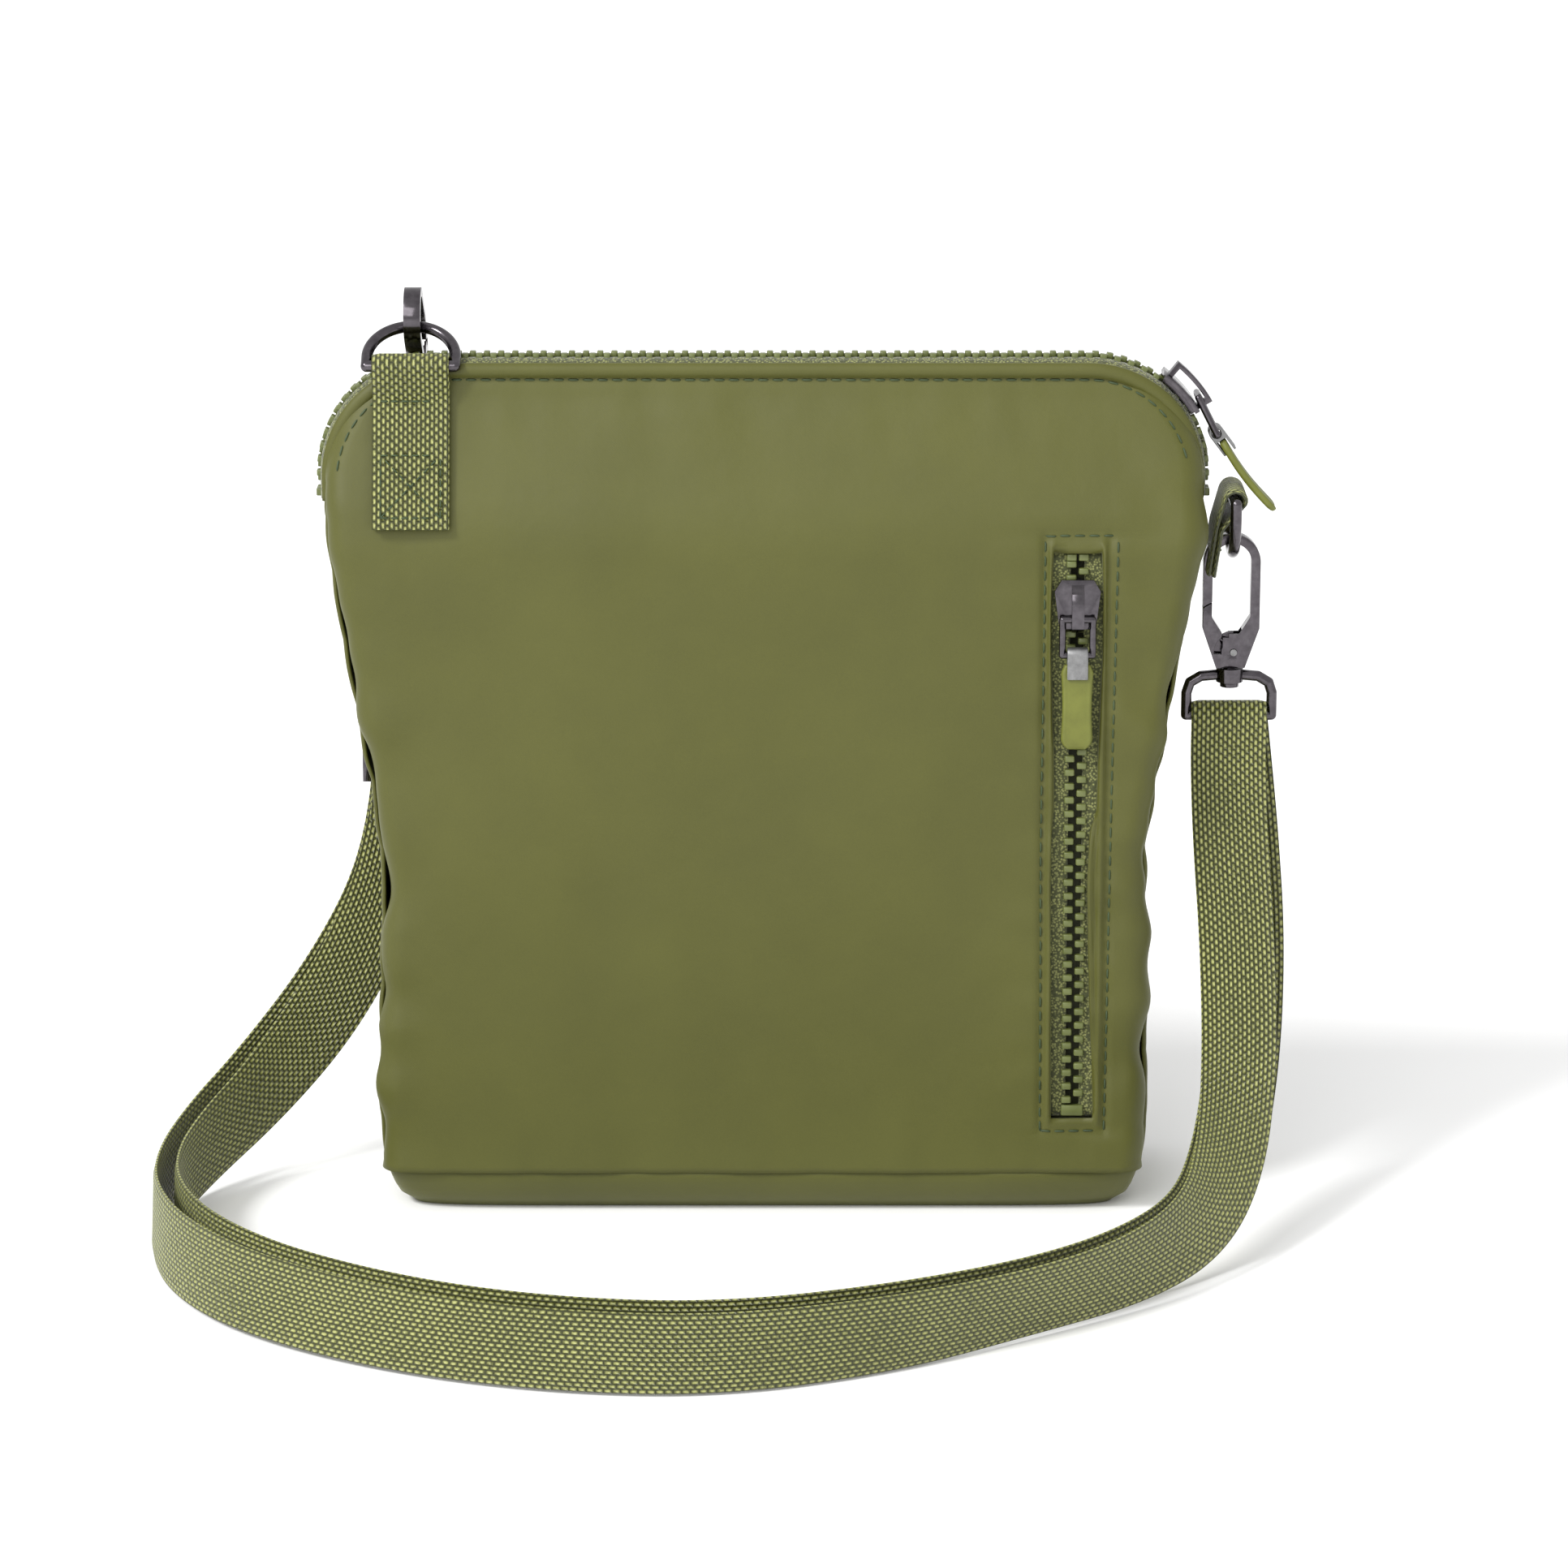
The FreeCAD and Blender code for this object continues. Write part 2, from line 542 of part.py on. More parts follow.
def hook_parts():
    """Snap hook, gate, rivet, spring and swivel loop, with the ring's wire at the origin."""
    outer = hook_outline(HOOK_HALF, EYE_TOP + 2.4, 3.8, -20.5, HOOK_FOOT)
    eye = hook_outline(EYE_HALF, EYE_TOP, 2.2, -17.5, -22.0)
    deep = V(0, HOOK_THICK, 0)
    blank = outer.extrude(deep)
    blank.translate(V(0, -HOOK_THICK / 2, 0))
    hole = eye.extrude(V(0, 3 * HOOK_THICK, 0))
    hole.translate(V(0, -1.5 * HOOK_THICK, 0))
    oval = blank.cut(hole)

    def disc(radius, low=-10.0, high=10.0):
        return Part.makeCylinder(radius, high - low, V(RIVET_X, low, RIVET_Z), Y)

    left_half = box(-20, RIVET_X - 3.2, -10, 10, RIVET_Z - 0.2, 0)
    gate_zone = disc(GATE_RADIUS).common(left_half)
    body_zone = disc(GATE_RADIUS + GATE_GAP).common(box(-20, RIVET_X - 2.9, -10, 10, RIVET_Z - 0.5, 0))
    body = oval.cut(body_zone)
    slot = disc(6.4, -1.6, 1.6)
    body = body.cut(slot)
    cheeks = fuse([disc(3.2, -HOOK_THICK / 2, -1.6), disc(3.2, 1.6, HOOK_THICK / 2)])
    floor_block = box(-3.8, 3.8, -HOOK_THICK / 2, HOOK_THICK / 2, HOOK_FOOT, HOOK_FOOT + 1.5)
    post = rod(V(0, 0, HOOK_FOOT + 0.5), V(0, 0, HOOK_FOOT - 4.4), POST)
    head = rod(V(0, 0, HOOK_FOOT - 4.3), V(0, 0, HOOK_FOOT - 5.4), 2.5)
    body = fuse([body, cheeks, floor_block, post, head]).cut(disc(RIVET_R))
    heel_room = box(RIVET_X - 3.1, RIVET_X - 1.3, -10, 10, RIVET_Z + 4.0, RIVET_Z + 5.3)
    body = body.cut(heel_room)
    blade = oval.common(gate_zone).cut(disc(5.2))
    tongue_half = box(-20, RIVET_X, -10, 10, RIVET_Z - 0.2, 0)
    tongue_zone = fuse([disc(5.4, -0.7, 0.7).common(tongue_half), disc(2.4, -0.7, 0.7)])
    gate = fuse([blade, tongue_zone]).cut(disc(RIVET_R + 0.05))
    rivet = disc(RIVET_R, -HOOK_THICK / 2 - 0.3, HOOK_THICK / 2 + 0.3)
    springs = [Part.makeTorus(1.75, 0.3, V(RIVET_X, y, RIVET_Z), Y) for y in (-1.15, 1.15)]
    return body, gate, rivet, Part.makeCompound(springs)


def swivel_loop():
    """The loop that the strap runs through, turning on the hook's post."""
    arch, bar, half = HOOK_FOOT - 2.2, LOOP_BAR, LOOP_HALF
    boss = rod(V(0, 0, HOOK_FOOT - 0.3), V(0, 0, HOOK_FOOT - 4.0), 3.6)
    sides = []
    for s in (-1, 1):
        points = [V(s * 2, 0, arch), V(s * 7.6, 0, arch - 0.5), V(s * 10.4, 0, arch - 2.2)]
        points += [V(s * half, 0, arch - 5), V(s * half, 0, bar), V(0, 0, bar)]
        sides.append(bent_rod(points, LOOP_WIRE))
    bore = rod(V(0, 0, HOOK_FOOT), V(0, 0, HOOK_FOOT - 5), POST + 0.05)
    return fuse([boss, *sides]).cut(bore)


def hook_frame_left():
    """Where the left hook sits on its ring: (rotation, place of its eye)."""
    rise = math.radians(RING_LEFT_RISE)
    wire = RING_LEFT_BAR + V(0, math.cos(rise), math.sin(rise)) * RING_REACH
    lean = math.radians(HOOK_LEFT_LEAN)
    down = V(0, math.sin(lean), -math.cos(lean))
    outward = V(0, math.cos(lean), math.sin(lean))
    rotation = FreeCAD.Rotation(-outward, X, -down, "ZXY")
    return rotation, wire - down * 2.3 + outward * 3.2, down


def make_fittings():
    tab = tab_at_origin(34.0, 42.4, 3.7)
    parts["strap_tab_left"] = placed(tab, FreeCAD.Rotation(X, UPPER_TILT), UPPER_FOOT)
    turn = FreeCAD.Rotation(X, 90 + RING_LEFT_RISE)
    parts["ring_left"] = placed(ring_at_origin(), turn, RING_LEFT_BAR)
    out = FreeCAD.Rotation(Z, 90)
    lean = FreeCAD.Rotation(Y, 9.7)
    right_tab = tab_at_origin(14.0, 19.0, 7.91)
    foot = V(112.6, 0, 172.8)
    parts["strap_tab_right"] = placed(right_tab, lean.multiply(out), foot)
    parts["ring_right"] = placed(ring_at_origin(), out, RING_RIGHT_BAR)

    rotation, eye, down = hook_frame_left()
    quarter = rotation.multiply(FreeCAD.Rotation(Z, 90))
    eye_right = RING_RIGHT_BAR - V(0, 0, RING_REACH)
    for side, turned, at, loop_turn in (
        ("left", rotation, eye, quarter),
        ("right", FreeCAD.Rotation(), eye_right, FreeCAD.Rotation()),
    ):
        body, gate, rivet, spring = hook_parts()
        parts[f"snap_hook_{side}"] = placed(body, turned, at)
        parts[f"hook_gate_{side}"] = placed(gate, turned, at)
        parts[f"gate_rivet_{side}"] = placed(rivet, turned, at)
        parts[f"gate_spring_{side}"] = placed(spring, turned, at)
        parts[f"swivel_loop_{side}"] = placed(swivel_loop(), loop_turn, at)
    print("left eye", eye, "left loop bar", eye + down * -LOOP_BAR)
    print("right eye", eye_right, "right loop bar", eye_right + V(0, 0, LOOP_BAR))


# ---------------------------------------------------------------- strap


def rounded_route(route):
    """Straight runs joined by tangent arcs: (centre, across) at each station, and the arc radii."""
    points = [V(*r[:3]) for r in route]
    across = [V(*r[3:]) for r in route]
    stations, radii = [(points[0], across[0])], []
    for i in range(1, len(points) - 1):
        a, b, c = points[i - 1 : i + 2]
        into, out = (b - a), (c - b)
        turn = into.getAngle(out)
        cut = 0.45 * min(into.Length, out.Length)
        radii.append(cut / math.tan(turn / 2))
        start = b - into.normalize() * cut
        end = b + out.normalize() * cut
        steps = max(2, int(math.degrees(turn) / 12) + 1)
        for k in range(steps + 1):
            t = k / steps
            p = start * (1 - t) ** 2 + b * (2 * t * (1 - t)) + end * t**2
            stations.append((p, across[i]))
    stations.append((points[-1], across[-1]))
    return stations, radii


def webbing(route):
    """Flat webbing along a route, as a closed solid of flat facets."""
    stations, radii = rounded_route(route)
    centres = [s[0] for s in stations]
    rows = []
    for i, (centre, _) in enumerate(stations):
        before, after = centres[max(i - 1, 0)], centres[min(i + 1, len(centres) - 1)]
        along = (after - before).normalize()
        wide = V(0, 0, 0)
        for j in range(-3, 4):
            wide = wide + stations[min(max(i + j, 0), len(stations) - 1)][1]
        wide = (wide - along * wide.dot(along)).normalize()
        thick = along.cross(wide)
        w, t = wide * (WEB / 2), thick * (WEB_THICK / 2)
        rows.append([centre + w + t, centre + w - t, centre - w - t, centre - w + t])
    faces = []

    def triangle(a, b, c):
        faces.append(Part.Face(Part.makePolygon([a, b, c, a])))

    for near, far in zip(rows, rows[1:]):
        for k in range(4):
            m = (k + 1) % 4
            triangle(near[k], near[m], far[m])
            triangle(near[k], far[m], far[k])
    for row in (rows[0], rows[-1]):
        triangle(row[0], row[1], row[2])
        triangle(row[0], row[2], row[3])
    solid = Part.makeSolid(Part.makeShell(faces))
    if solid.Volume < 0:
        solid.reverse()
    length = sum((b - a).Length for a, b in zip(centres, centres[1:]))
    ratio = solid.Volume / (length * WEB * WEB_THICK)
    tight = min(radii)
    print(f"webbing: {length:.1f} long, tightest radius {tight:.1f}, volume ratio {ratio:.3f}")
    print("radii", [round(r) for r in radii], "lowest", round(solid.BoundBox.ZMin, 2))
    return solid


def make_strap():
    parts["strap_long_run"] = webbing(LONG_RUN)
    parts["strap_return_run"] = webbing(RETURN_RUN)
    c = SLIDE_CENTRE
    plates = []
    for s in (-1, 1):
        x0, x1 = sorted((c.x + s * 10.9, c.x + s * 13.1))
        plates.append(box(x0, x1, c.y - 5.2, c.y + 3.4, c.z - 8.2, c.z + 8.2))
    bars = []
    for y, z in ((2.3, -7.0), (-4.0, 0.0), (2.3, 7.0)):
        bars.append(rod(c + V(-11.5, y, z), c + V(11.5, y, z), SLIDE_BAR))
    parts["strap_slide"] = fuse(plates + bars)


def main():
    make_shell()
    make_lining()
    make_pocket_bag()
    make_mouth_zip()
    make_pocket_zip()
    make_pocket_puller()
    pin = make_main_puller()
    make_fittings()
    make_strap()
    print("main pin", pin)
    for name, shape in parts.items():
        solids = len(shape.Solids)
        print(f"{name}: {solids} solids, {shape.Volume:.0f} mm3, valid {shape.isValid()}")
        shape.exportStep(f"parts/{name}.step")


main()
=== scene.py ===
import json
import math

import bpy
import numpy as np
from mathutils import Matrix, Vector, noise
from mathutils.bvhtree import BVHTree


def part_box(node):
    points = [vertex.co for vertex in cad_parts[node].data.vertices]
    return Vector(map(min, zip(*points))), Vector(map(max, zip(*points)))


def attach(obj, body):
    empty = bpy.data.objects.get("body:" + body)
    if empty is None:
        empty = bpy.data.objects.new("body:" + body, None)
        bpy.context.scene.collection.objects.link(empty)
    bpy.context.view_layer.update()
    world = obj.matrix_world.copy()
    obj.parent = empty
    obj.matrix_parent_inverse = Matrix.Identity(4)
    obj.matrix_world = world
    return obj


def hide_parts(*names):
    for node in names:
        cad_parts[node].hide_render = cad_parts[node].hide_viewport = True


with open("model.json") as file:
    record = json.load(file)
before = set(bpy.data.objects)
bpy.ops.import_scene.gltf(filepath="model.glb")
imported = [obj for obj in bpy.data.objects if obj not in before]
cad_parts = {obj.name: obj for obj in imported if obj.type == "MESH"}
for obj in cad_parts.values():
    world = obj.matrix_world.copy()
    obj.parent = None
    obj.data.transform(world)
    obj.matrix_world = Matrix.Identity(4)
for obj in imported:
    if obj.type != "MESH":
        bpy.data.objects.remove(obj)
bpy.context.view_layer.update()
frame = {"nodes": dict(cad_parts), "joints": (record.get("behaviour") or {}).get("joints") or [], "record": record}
scene = bpy.context.scene

# ---------------------------------------------------------------- sizes, in metres

SHOULDER_X, SHOULDER_Z = 0.085, 0.1965
CHAIN_RADIUS = 0.032
EDGE_RADIUS = 0.0296
EDGE_Y = 0.0068
SIDE_TOP = 0.190
PANEL_TOP = 0.2261
BASE_TOP = 0.012
CORNER = 0.006
SEAM_INSET = 0.007
SHEET_THICK = 0.0008
HALF_WIDTH = [(0, 0.094), (0.004, 0.0985), (0.012, 0.1012), (0.024, 0.102), (0.07, 0.101), (0.092, 0.0998),
              (0.104, 0.1008), (0.135, 0.1062), (0.166, 0.1118), (0.184, 0.1142), (SHOULDER_Z, 0.1146)]
HALF_DEPTH = [(0, 0.020), (0.004, 0.025), (0.010, 0.028), (0.185, 0.019), (0.221, 0.0076), (0.2265, 0.0068)]
FRONT_PAD = [(0, 0.0), (0.012, 0.003), (0.06, 0.004), (0.131, 0.004), (0.185, 0.003), (0.221, 0.0004)]
POCKET_X = 0.082
WINDOW = (0.027, 0.179)
WINDOW_HALF = 0.005
POCKET_STITCH = (0.0735, 0.0905)
STITCH_PITCH = 0.0038
QUILT_PITCH = 0.0185
WEB_WIDTH, WEB_THICK = 0.020, 0.0014
# Across the mouth zip's tape and the folded cloth beside it: y, then height off the chain's line
TAPE_SECTION = [(0.0016, -0.0010), (0.0030, -0.0010), (0.0046, -0.0014), (0.0062, -0.0024), (0.0075, -0.0042)]
FACING_SECTION = [
    (0.0061, -0.0026), (0.0066, -0.0018), (0.0074, -0.0019), (0.0082, -0.0034), (0.0080, -0.0056),
]

# Strap routes: centre point in metres, then the direction across the webbing
LONG_RUN = [
    (-0.0915, 0.0366, 0.187, -1, 0, 0), (-0.0915, 0.0364, 0.201, -1, 0, 0),
    (-0.0915, 0.0362, 0.2166, -1, 0, 0), (-0.0915, 0.0426, 0.2166, -1, 0, 0),
    (-0.0915, 0.0398, 0.202, -1, 0, 0), (-0.0916, 0.0384, 0.186, -1, 0, 0),
    (-0.0926, 0.0376, 0.160, -1, 0, 0), (-0.0946, 0.037, 0.136, -1, 0, 0.05),
    (-0.0962, 0.037, 0.112, -1, 0, 0.08), (-0.0986, 0.0364, 0.091, -1, 0, 0.15),
    (-0.1036, 0.034, 0.073, -0.92, 0, 0.38), (-0.112, 0.0295, 0.057, -0.85, -0.05, 0.53),
    (-0.1235, 0.0215, 0.041, -0.7, -0.1, 0.7), (-0.1385, 0.009, 0.026, -0.4, -0.2, 0.9),
    (-0.1525, -0.008, 0.0155, -0.15, -0.1, 0.98), (-0.160, -0.031, 0.011, 0, 0, 1),
    (-0.1595, -0.060, 0.0108, 0.05, 0.1, 0.99), (-0.149, -0.092, 0.0108, 0.1, 0.3, 0.95),
    (-0.126, -0.121, 0.0108, 0.15, 0.4, 0.9), (-0.088, -0.1465, 0.0108, 0.05, 0.25, 0.97),
    (-0.047, -0.1595, 0.0108, 0, 0.2, 0.98), (-0.008, -0.1615, 0.0108, 0, 0.1, 0.99),
    (0.034, -0.1465, 0.0108, 0, -0.05, 1), (0.069, -0.124, 0.011, 0, -0.3, 0.95),
    (0.096, -0.1025, 0.012, -0.15, -0.2, 0.97), (0.114, -0.080, 0.016, -0.5, 0, 0.85),
    (0.1225, -0.055, 0.026, -0.85, 0, 0.5), (0.126, -0.031, 0.045, -0.97, 0, 0.22),
    (0.126, -0.015, 0.072, -1, 0, 0), (0.1242, -0.007, 0.098, -1, 0, 0),
    (0.1234, -0.0036, 0.119, -1, 0, 0), (0.1236, -0.0031, 0.1338, -1, 0, 0),
    (0.1236, 0.0, 0.134, -1, 0, 0),
]
RETURN_RUN = [
    (0.1236, 0.0, 0.134, -1, 0, 0), (0.1236, 0.0031, 0.1338, -1, 0, 0),
    (0.1254, 0.0034, 0.119, -1, 0, 0), (0.1276, 0.0005, 0.098, -1, 0, 0),
    (0.1292, -0.009, 0.071, -1, 0, 0), (0.1272, -0.0265, 0.0425, -0.97, 0, 0.22),
    (0.1212, -0.052, 0.0224, -0.85, 0, 0.5), (0.1106, -0.0775, 0.0138, -0.5, 0, 0.85),
    (0.0915, -0.098, 0.0114, -0.15, -0.2, 0.97), (0.065, -0.1175, 0.0108, 0, -0.3, 0.95),
    (0.031, -0.1385, 0.0108, 0, -0.05, 1), (-0.008, -0.152, 0.0108, 0, 0.1, 0.99),
    (-0.045, -0.1505, 0.0108, 0, 0.2, 0.98), (-0.084, -0.138, 0.0108, 0.05, 0.25, 0.97),
    (-0.1205, -0.114, 0.0108, 0.15, 0.4, 0.9), (-0.1425, -0.088, 0.0108, 0.1, 0.3, 0.95),
    (-0.1535, -0.059, 0.0108, 0.05, 0.1, 0.99), (-0.155, -0.033, 0.011, 0, 0, 1),
    (-0.1485, -0.013, 0.015, -0.15, -0.1, 0.98), (-0.1355, 0.0035, 0.0245, -0.4, -0.2, 0.9),
    (-0.121, 0.0175, 0.040, -0.7, -0.1, 0.7), (-0.1105, 0.0265, 0.0565, -0.85, -0.05, 0.53),
    (-0.1028, 0.0318, 0.073, -0.92, 0, 0.38), (-0.0984, 0.0342, 0.091, -1, 0, 0.15),
    (-0.0964, 0.0352, 0.103, -1, 0, 0.08), (-0.096, 0.0355, 0.115, -1, 0, 0),
    (-0.096, 0.030, 0.115, -1, 0, 0), (-0.0964, 0.0309, 0.102, -1, 0, 0.08),
    (-0.0976, 0.0316, 0.092, -1, 0, 0.12),
]


# ---------------------------------------------------------------- material helpers


class Nodes:
    """A short way to write a node material."""

    def __init__(self, name):
        self.material = bpy.data.materials.new(name)
        self.material.use_nodes = True
        self.tree = self.material.node_tree
        self.shader = self.tree.nodes["Principled BSDF"]

    def add(self, kind, inputs=(), **settings):
        node = self.tree.nodes.new(kind)
        for key, value in settings.items():
            setattr(node, key, value)
        for key, value in dict(inputs).items():
            self.put(value, node.inputs[key])
        return node

    def put(self, value, socket):
        if isinstance(value, bpy.types.NodeSocket):
            self.tree.links.new(value, socket)
        else:
            socket.default_value = value

    def math(self, operation, a, b=0.0):
        return self.add("ShaderNodeMath", {0: a, 1: b}, operation=operation).outputs[0]

    def noise(self, vector, scale, detail=3.0, rough=0.5):
        inputs = {"Vector": vector, "Scale": scale, "Detail": detail, "Roughness": rough}
        return self.add("ShaderNodeTexNoise", inputs).outputs["Fac"]

    def ramp(self, fac, stops):
        node = self.add("ShaderNodeValToRGB", {"Fac": fac})
        elements = node.color_ramp.elements
        while len(elements) < len(stops):
            elements.new(0.5)
        for element, (place, colour) in zip(elements, stops):
            element.position = place
            element.color = (*colour, 1)
        return node.outputs["Color"]

    def spread(self, fac, low, high):
        return self.add("ShaderNodeMapRange", {"Value": fac, "To Min": low, "To Max": high}).outputs[0]

    def bump(self, height, strength, distance, normal=None):
        inputs = {"Height": height, "Strength": strength, "Distance": distance}
        if normal is not None:
            inputs["Normal"] = normal
        return self.add("ShaderNodeBump", inputs).outputs["Normal"]

    def place(self):
        return self.add("ShaderNodeTexCoord").outputs["Object"]


def set_fixed(shader, **values):
    for key, value in values.items():
        shader.inputs[key.replace("_", " ")].default_value = value


def nylon_material(name, dark, light):
    m = Nodes(name)
    where = m.place()
    broad = m.noise(where, 26.0, 3.0, 0.55)
    fine = m.noise(where, 2600.0, 2.0, 0.6)
    mix = m.math("ADD", m.math("MULTIPLY", broad, 0.6), m.math("MULTIPLY", fine, 0.4))
    m.put(m.ramp(mix, [(0.2, dark), (0.85, light)]), m.shader.inputs["Base Color"])
    m.put(m.spread(fine, 0.46, 0.62), m.shader.inputs["Roughness"])
    axes = m.add("ShaderNodeSeparateXYZ", {0: where})
    thread = 2 * math.pi / 0.00042
    across = m.math("SINE", m.math("MULTIPLY", axes.outputs["X"], thread))
    up = m.math("SINE", m.math("MULTIPLY", axes.outputs["Z"], thread))
    weave = m.math("MULTIPLY", across, up)
    grain = m.bump(weave, 0.12, 0.00008)
    crumple = m.noise(where, 190.0, 4.0, 0.62)
    m.put(m.bump(crumple, 0.22, 0.0006, grain), m.shader.inputs["Normal"])
    set_fixed(m.shader, Sheen_Weight=0.12, Sheen_Roughness=0.35, Specular_IOR_Level=0.4)
    m.shader.inputs["Sheen Tint"].default_value = (0.75, 0.78, 0.5, 1)
    return m.material


def webbing_material(name, pitch_along, pitch_across, dark, mid, light):
    """Pebbled webbing: rows of small beads, each row half a bead on from the last. Its base colour holds painted
    shade between the beads and painted glints on the bead tops.
    """
    m = Nodes(name)
    uv = m.add("ShaderNodeUVMap", uv_map="cloth").outputs["UV"]
    axes = m.add("ShaderNodeSeparateXYZ", {0: uv})
    along = m.math("DIVIDE", axes.outputs["X"], pitch_along)
    across = m.math("DIVIDE", axes.outputs["Y"], pitch_across)
    shift = m.math("MULTIPLY", m.math("FLOOR", across), 0.5)
    turn = m.math("MULTIPLY", m.math("ADD", along, shift), math.pi)
    bead_along = m.math("ABSOLUTE", m.math("SINE", turn))
    bead_across = m.math("ABSOLUTE", m.math("SINE", m.math("MULTIPLY", across, math.pi)))
    bead = m.math("POWER", m.math("MULTIPLY", bead_along, bead_across), 0.7)
    spark = m.noise(uv, 900.0, 2.0, 0.7)
    slow = m.noise(uv, 28.0, 2.0, 0.5)
    # painted shade and painted glints: the bead pattern darkens the gaps between beads, and spark noise brightens
    # the bead tops towards the light colour
    bead_shade_and_glint = m.math("MULTIPLY", bead, m.spread(spark, 0.1, 1.7))
    bead_shade_and_glint = m.math("MULTIPLY", bead_shade_and_glint, m.spread(slow, 0.8, 1.2))
    m.put(m.ramp(bead_shade_and_glint, [(0.08, dark), (0.45, mid), (0.85, light)]), m.shader.inputs["Base Color"])
    m.put(m.spread(spark, 0.3, 0.55), m.shader.inputs["Roughness"])
    m.put(m.bump(bead, 0.9, 0.0006), m.shader.inputs["Normal"])
    set_fixed(m.shader, Sheen_Weight=0.2, Sheen_Roughness=0.35, Specular_IOR_Level=0.55)
    m.shader.inputs["Sheen Tint"].default_value = (0.8, 0.85, 0.5, 1)
    return m.material


def tape_material(name, dark, light):
    m = Nodes(name)
    where = m.place()
    cells = m.add("ShaderNodeTexVoronoi", {"Vector": where, "Scale": 1500.0}).outputs["Distance"]
    # painted highlight and painted shade: the knit is lighter at each cell's centre and darker at its edges, like
    # lit loops and shaded gaps
    m.put(m.ramp(cells, [(0.15, light), (0.6, dark)]), m.shader.inputs["Base Color"])
    m.put(m.bump(cells, 0.6, 0.0003), m.shader.inputs["Normal"])
    set_fixed(m.shader, Roughness=0.75, Sheen_Weight=0.3)
    return m.material


def plastic_material(name, dark, light, rough, grain):
    m = Nodes(name)
    where = m.place()
    cloud = m.noise(where, 160.0, 4.0, 0.6)
    m.put(m.ramp(cloud, [(0.3, dark), (0.7, light)]), m.shader.inputs["Base Color"])
    m.put(m.spread(cloud, rough - 0.08, rough + 0.1), m.shader.inputs["Roughness"])
    m.put(m.bump(m.noise(where, 1800.0, 3.0, 0.6), grain, 0.0002), m.shader.inputs["Normal"])
    set_fixed(m.shader, Specular_IOR_Level=0.5)
    return m.material


def metal_material(name, dark, light, rough):
    """Plated metal with fine scratches and worn, brighter patches."""
    m = Nodes(name)
    where = m.place()
    wear = m.noise(where, 420.0, 5.0, 0.65)
    m.put(m.ramp(wear, [(0.35, dark), (0.72, light)]), m.shader.inputs["Base Color"])
    smudge = m.noise(where, 130.0, 3.0, 0.6)
    m.put(m.spread(smudge, rough - 0.06, rough + 0.14), m.shader.inputs["Roughness"])
    m.put(m.bump(m.noise(where, 2400.0, 2.0, 0.5), 0.05, 0.0001), m.shader.inputs["Normal"])
    set_fixed(m.shader, Metallic=1.0)
    return m.material


def make_materials():
    olive_dark, olive_light = (0.057, 0.059, 0.0065), (0.088, 0.09, 0.0125)
    # webbing colours run from painted shade (dark) through the cloth's own olive (mid) to painted glint (light)
    webbing_shade_mid_glint = (0.022, 0.026, 0.003), (0.075, 0.08, 0.015), (0.33, 0.34, 0.11)
    return {
        "nylon": nylon_material("olive_nylon", olive_dark, olive_light),
        "lining": nylon_material("lining_cloth", (0.05, 0.055, 0.02), (0.09, 0.095, 0.04)),
        "webbing": webbing_material("olive_webbing", 0.0021, 0.00115, *webbing_shade_mid_glint),
        "tape": tape_material("zip_tape_knit", (0.04, 0.046, 0.008), (0.24, 0.25, 0.08)),
        "teeth": plastic_material("zip_teeth_plastic", (0.085, 0.1, 0.024), (0.13, 0.15, 0.045), 0.34, 0.08),
        "metal": metal_material("gunmetal_plate", (0.075, 0.068, 0.075), (0.12, 0.11, 0.12), 0.14),
        "clamp": metal_material("clamp_grey", (0.2, 0.2, 0.2), (0.32, 0.32, 0.32), 0.45),
        "steel": metal_material("spring_steel", (0.4, 0.4, 0.4), (0.6, 0.6, 0.6), 0.25),
        "rubber": plastic_material("pull_rubber", (0.105, 0.115, 0.012), (0.14, 0.152, 0.02), 0.52, 0.16),
        "thread": plastic_material("thread", (0.022, 0.04, 0.012), (0.045, 0.07, 0.025), 0.6, 0.4),
    }


materials = make_materials()


# ---------------------------------------------------------------- mesh helpers


def cloth_piece(name, points, faces, node):
    return mesh_piece(name, points, faces, materials["nylon"], [node] if node else [])


def mesh_piece(name, points, faces, material, replaces=(), body="root"):
    mesh = bpy.data.meshes.new(name)
    mesh.from_pydata([tuple(p) for p in points], [], faces)
    mesh.validate()
    piece = bpy.data.objects.new(name, mesh)
    scene.collection.objects.link(piece)
    mesh.materials.append(material)
    mesh.polygons.foreach_set("use_smooth", [True] * len(mesh.polygons))
    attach(piece, body)
    if replaces:
        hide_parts(*replaces)
    return piece


def apply_modifiers(piece):
    graph = bpy.context.evaluated_depsgraph_get()
    baked = bpy.data.meshes.new_from_object(piece.evaluated_get(graph))
    piece.modifiers.clear()
    piece.data = baked


def profile(points, z):
    """A smooth reading of a profile: the mean of straight runs over a short window."""
    xs, ys = zip(*points)
    steps = np.linspace(-0.006, 0.006, 7)
    return float(np.mean([np.interp(z + s, xs, ys) for s in steps]))


def half_width(z):
    if z <= 0.012:
        return float(np.interp(z, *zip(*HALF_WIDTH)))
    if z <= SHOULDER_Z:
        return profile(HALF_WIDTH, min(z, SHOULDER_Z - 0.006))
    rise = min(z - SHOULDER_Z, EDGE_RADIUS * 0.9999)
    return SHOULDER_X + math.sqrt(EDGE_RADIUS**2 - rise**2)


def half_depth(z):
    return float(np.interp(z, *zip(*HALF_DEPTH))) if z < 0.016 else profile(HALF_DEPTH, z)


def between(z, low, high, fade=0.002):
    """One between two heights, fading to nothing over a short run past each."""
    rise = min(max((z - low) / fade, 0.0), 1.0)
    return rise * min(max((high - z) / fade, 0.0), 1.0)


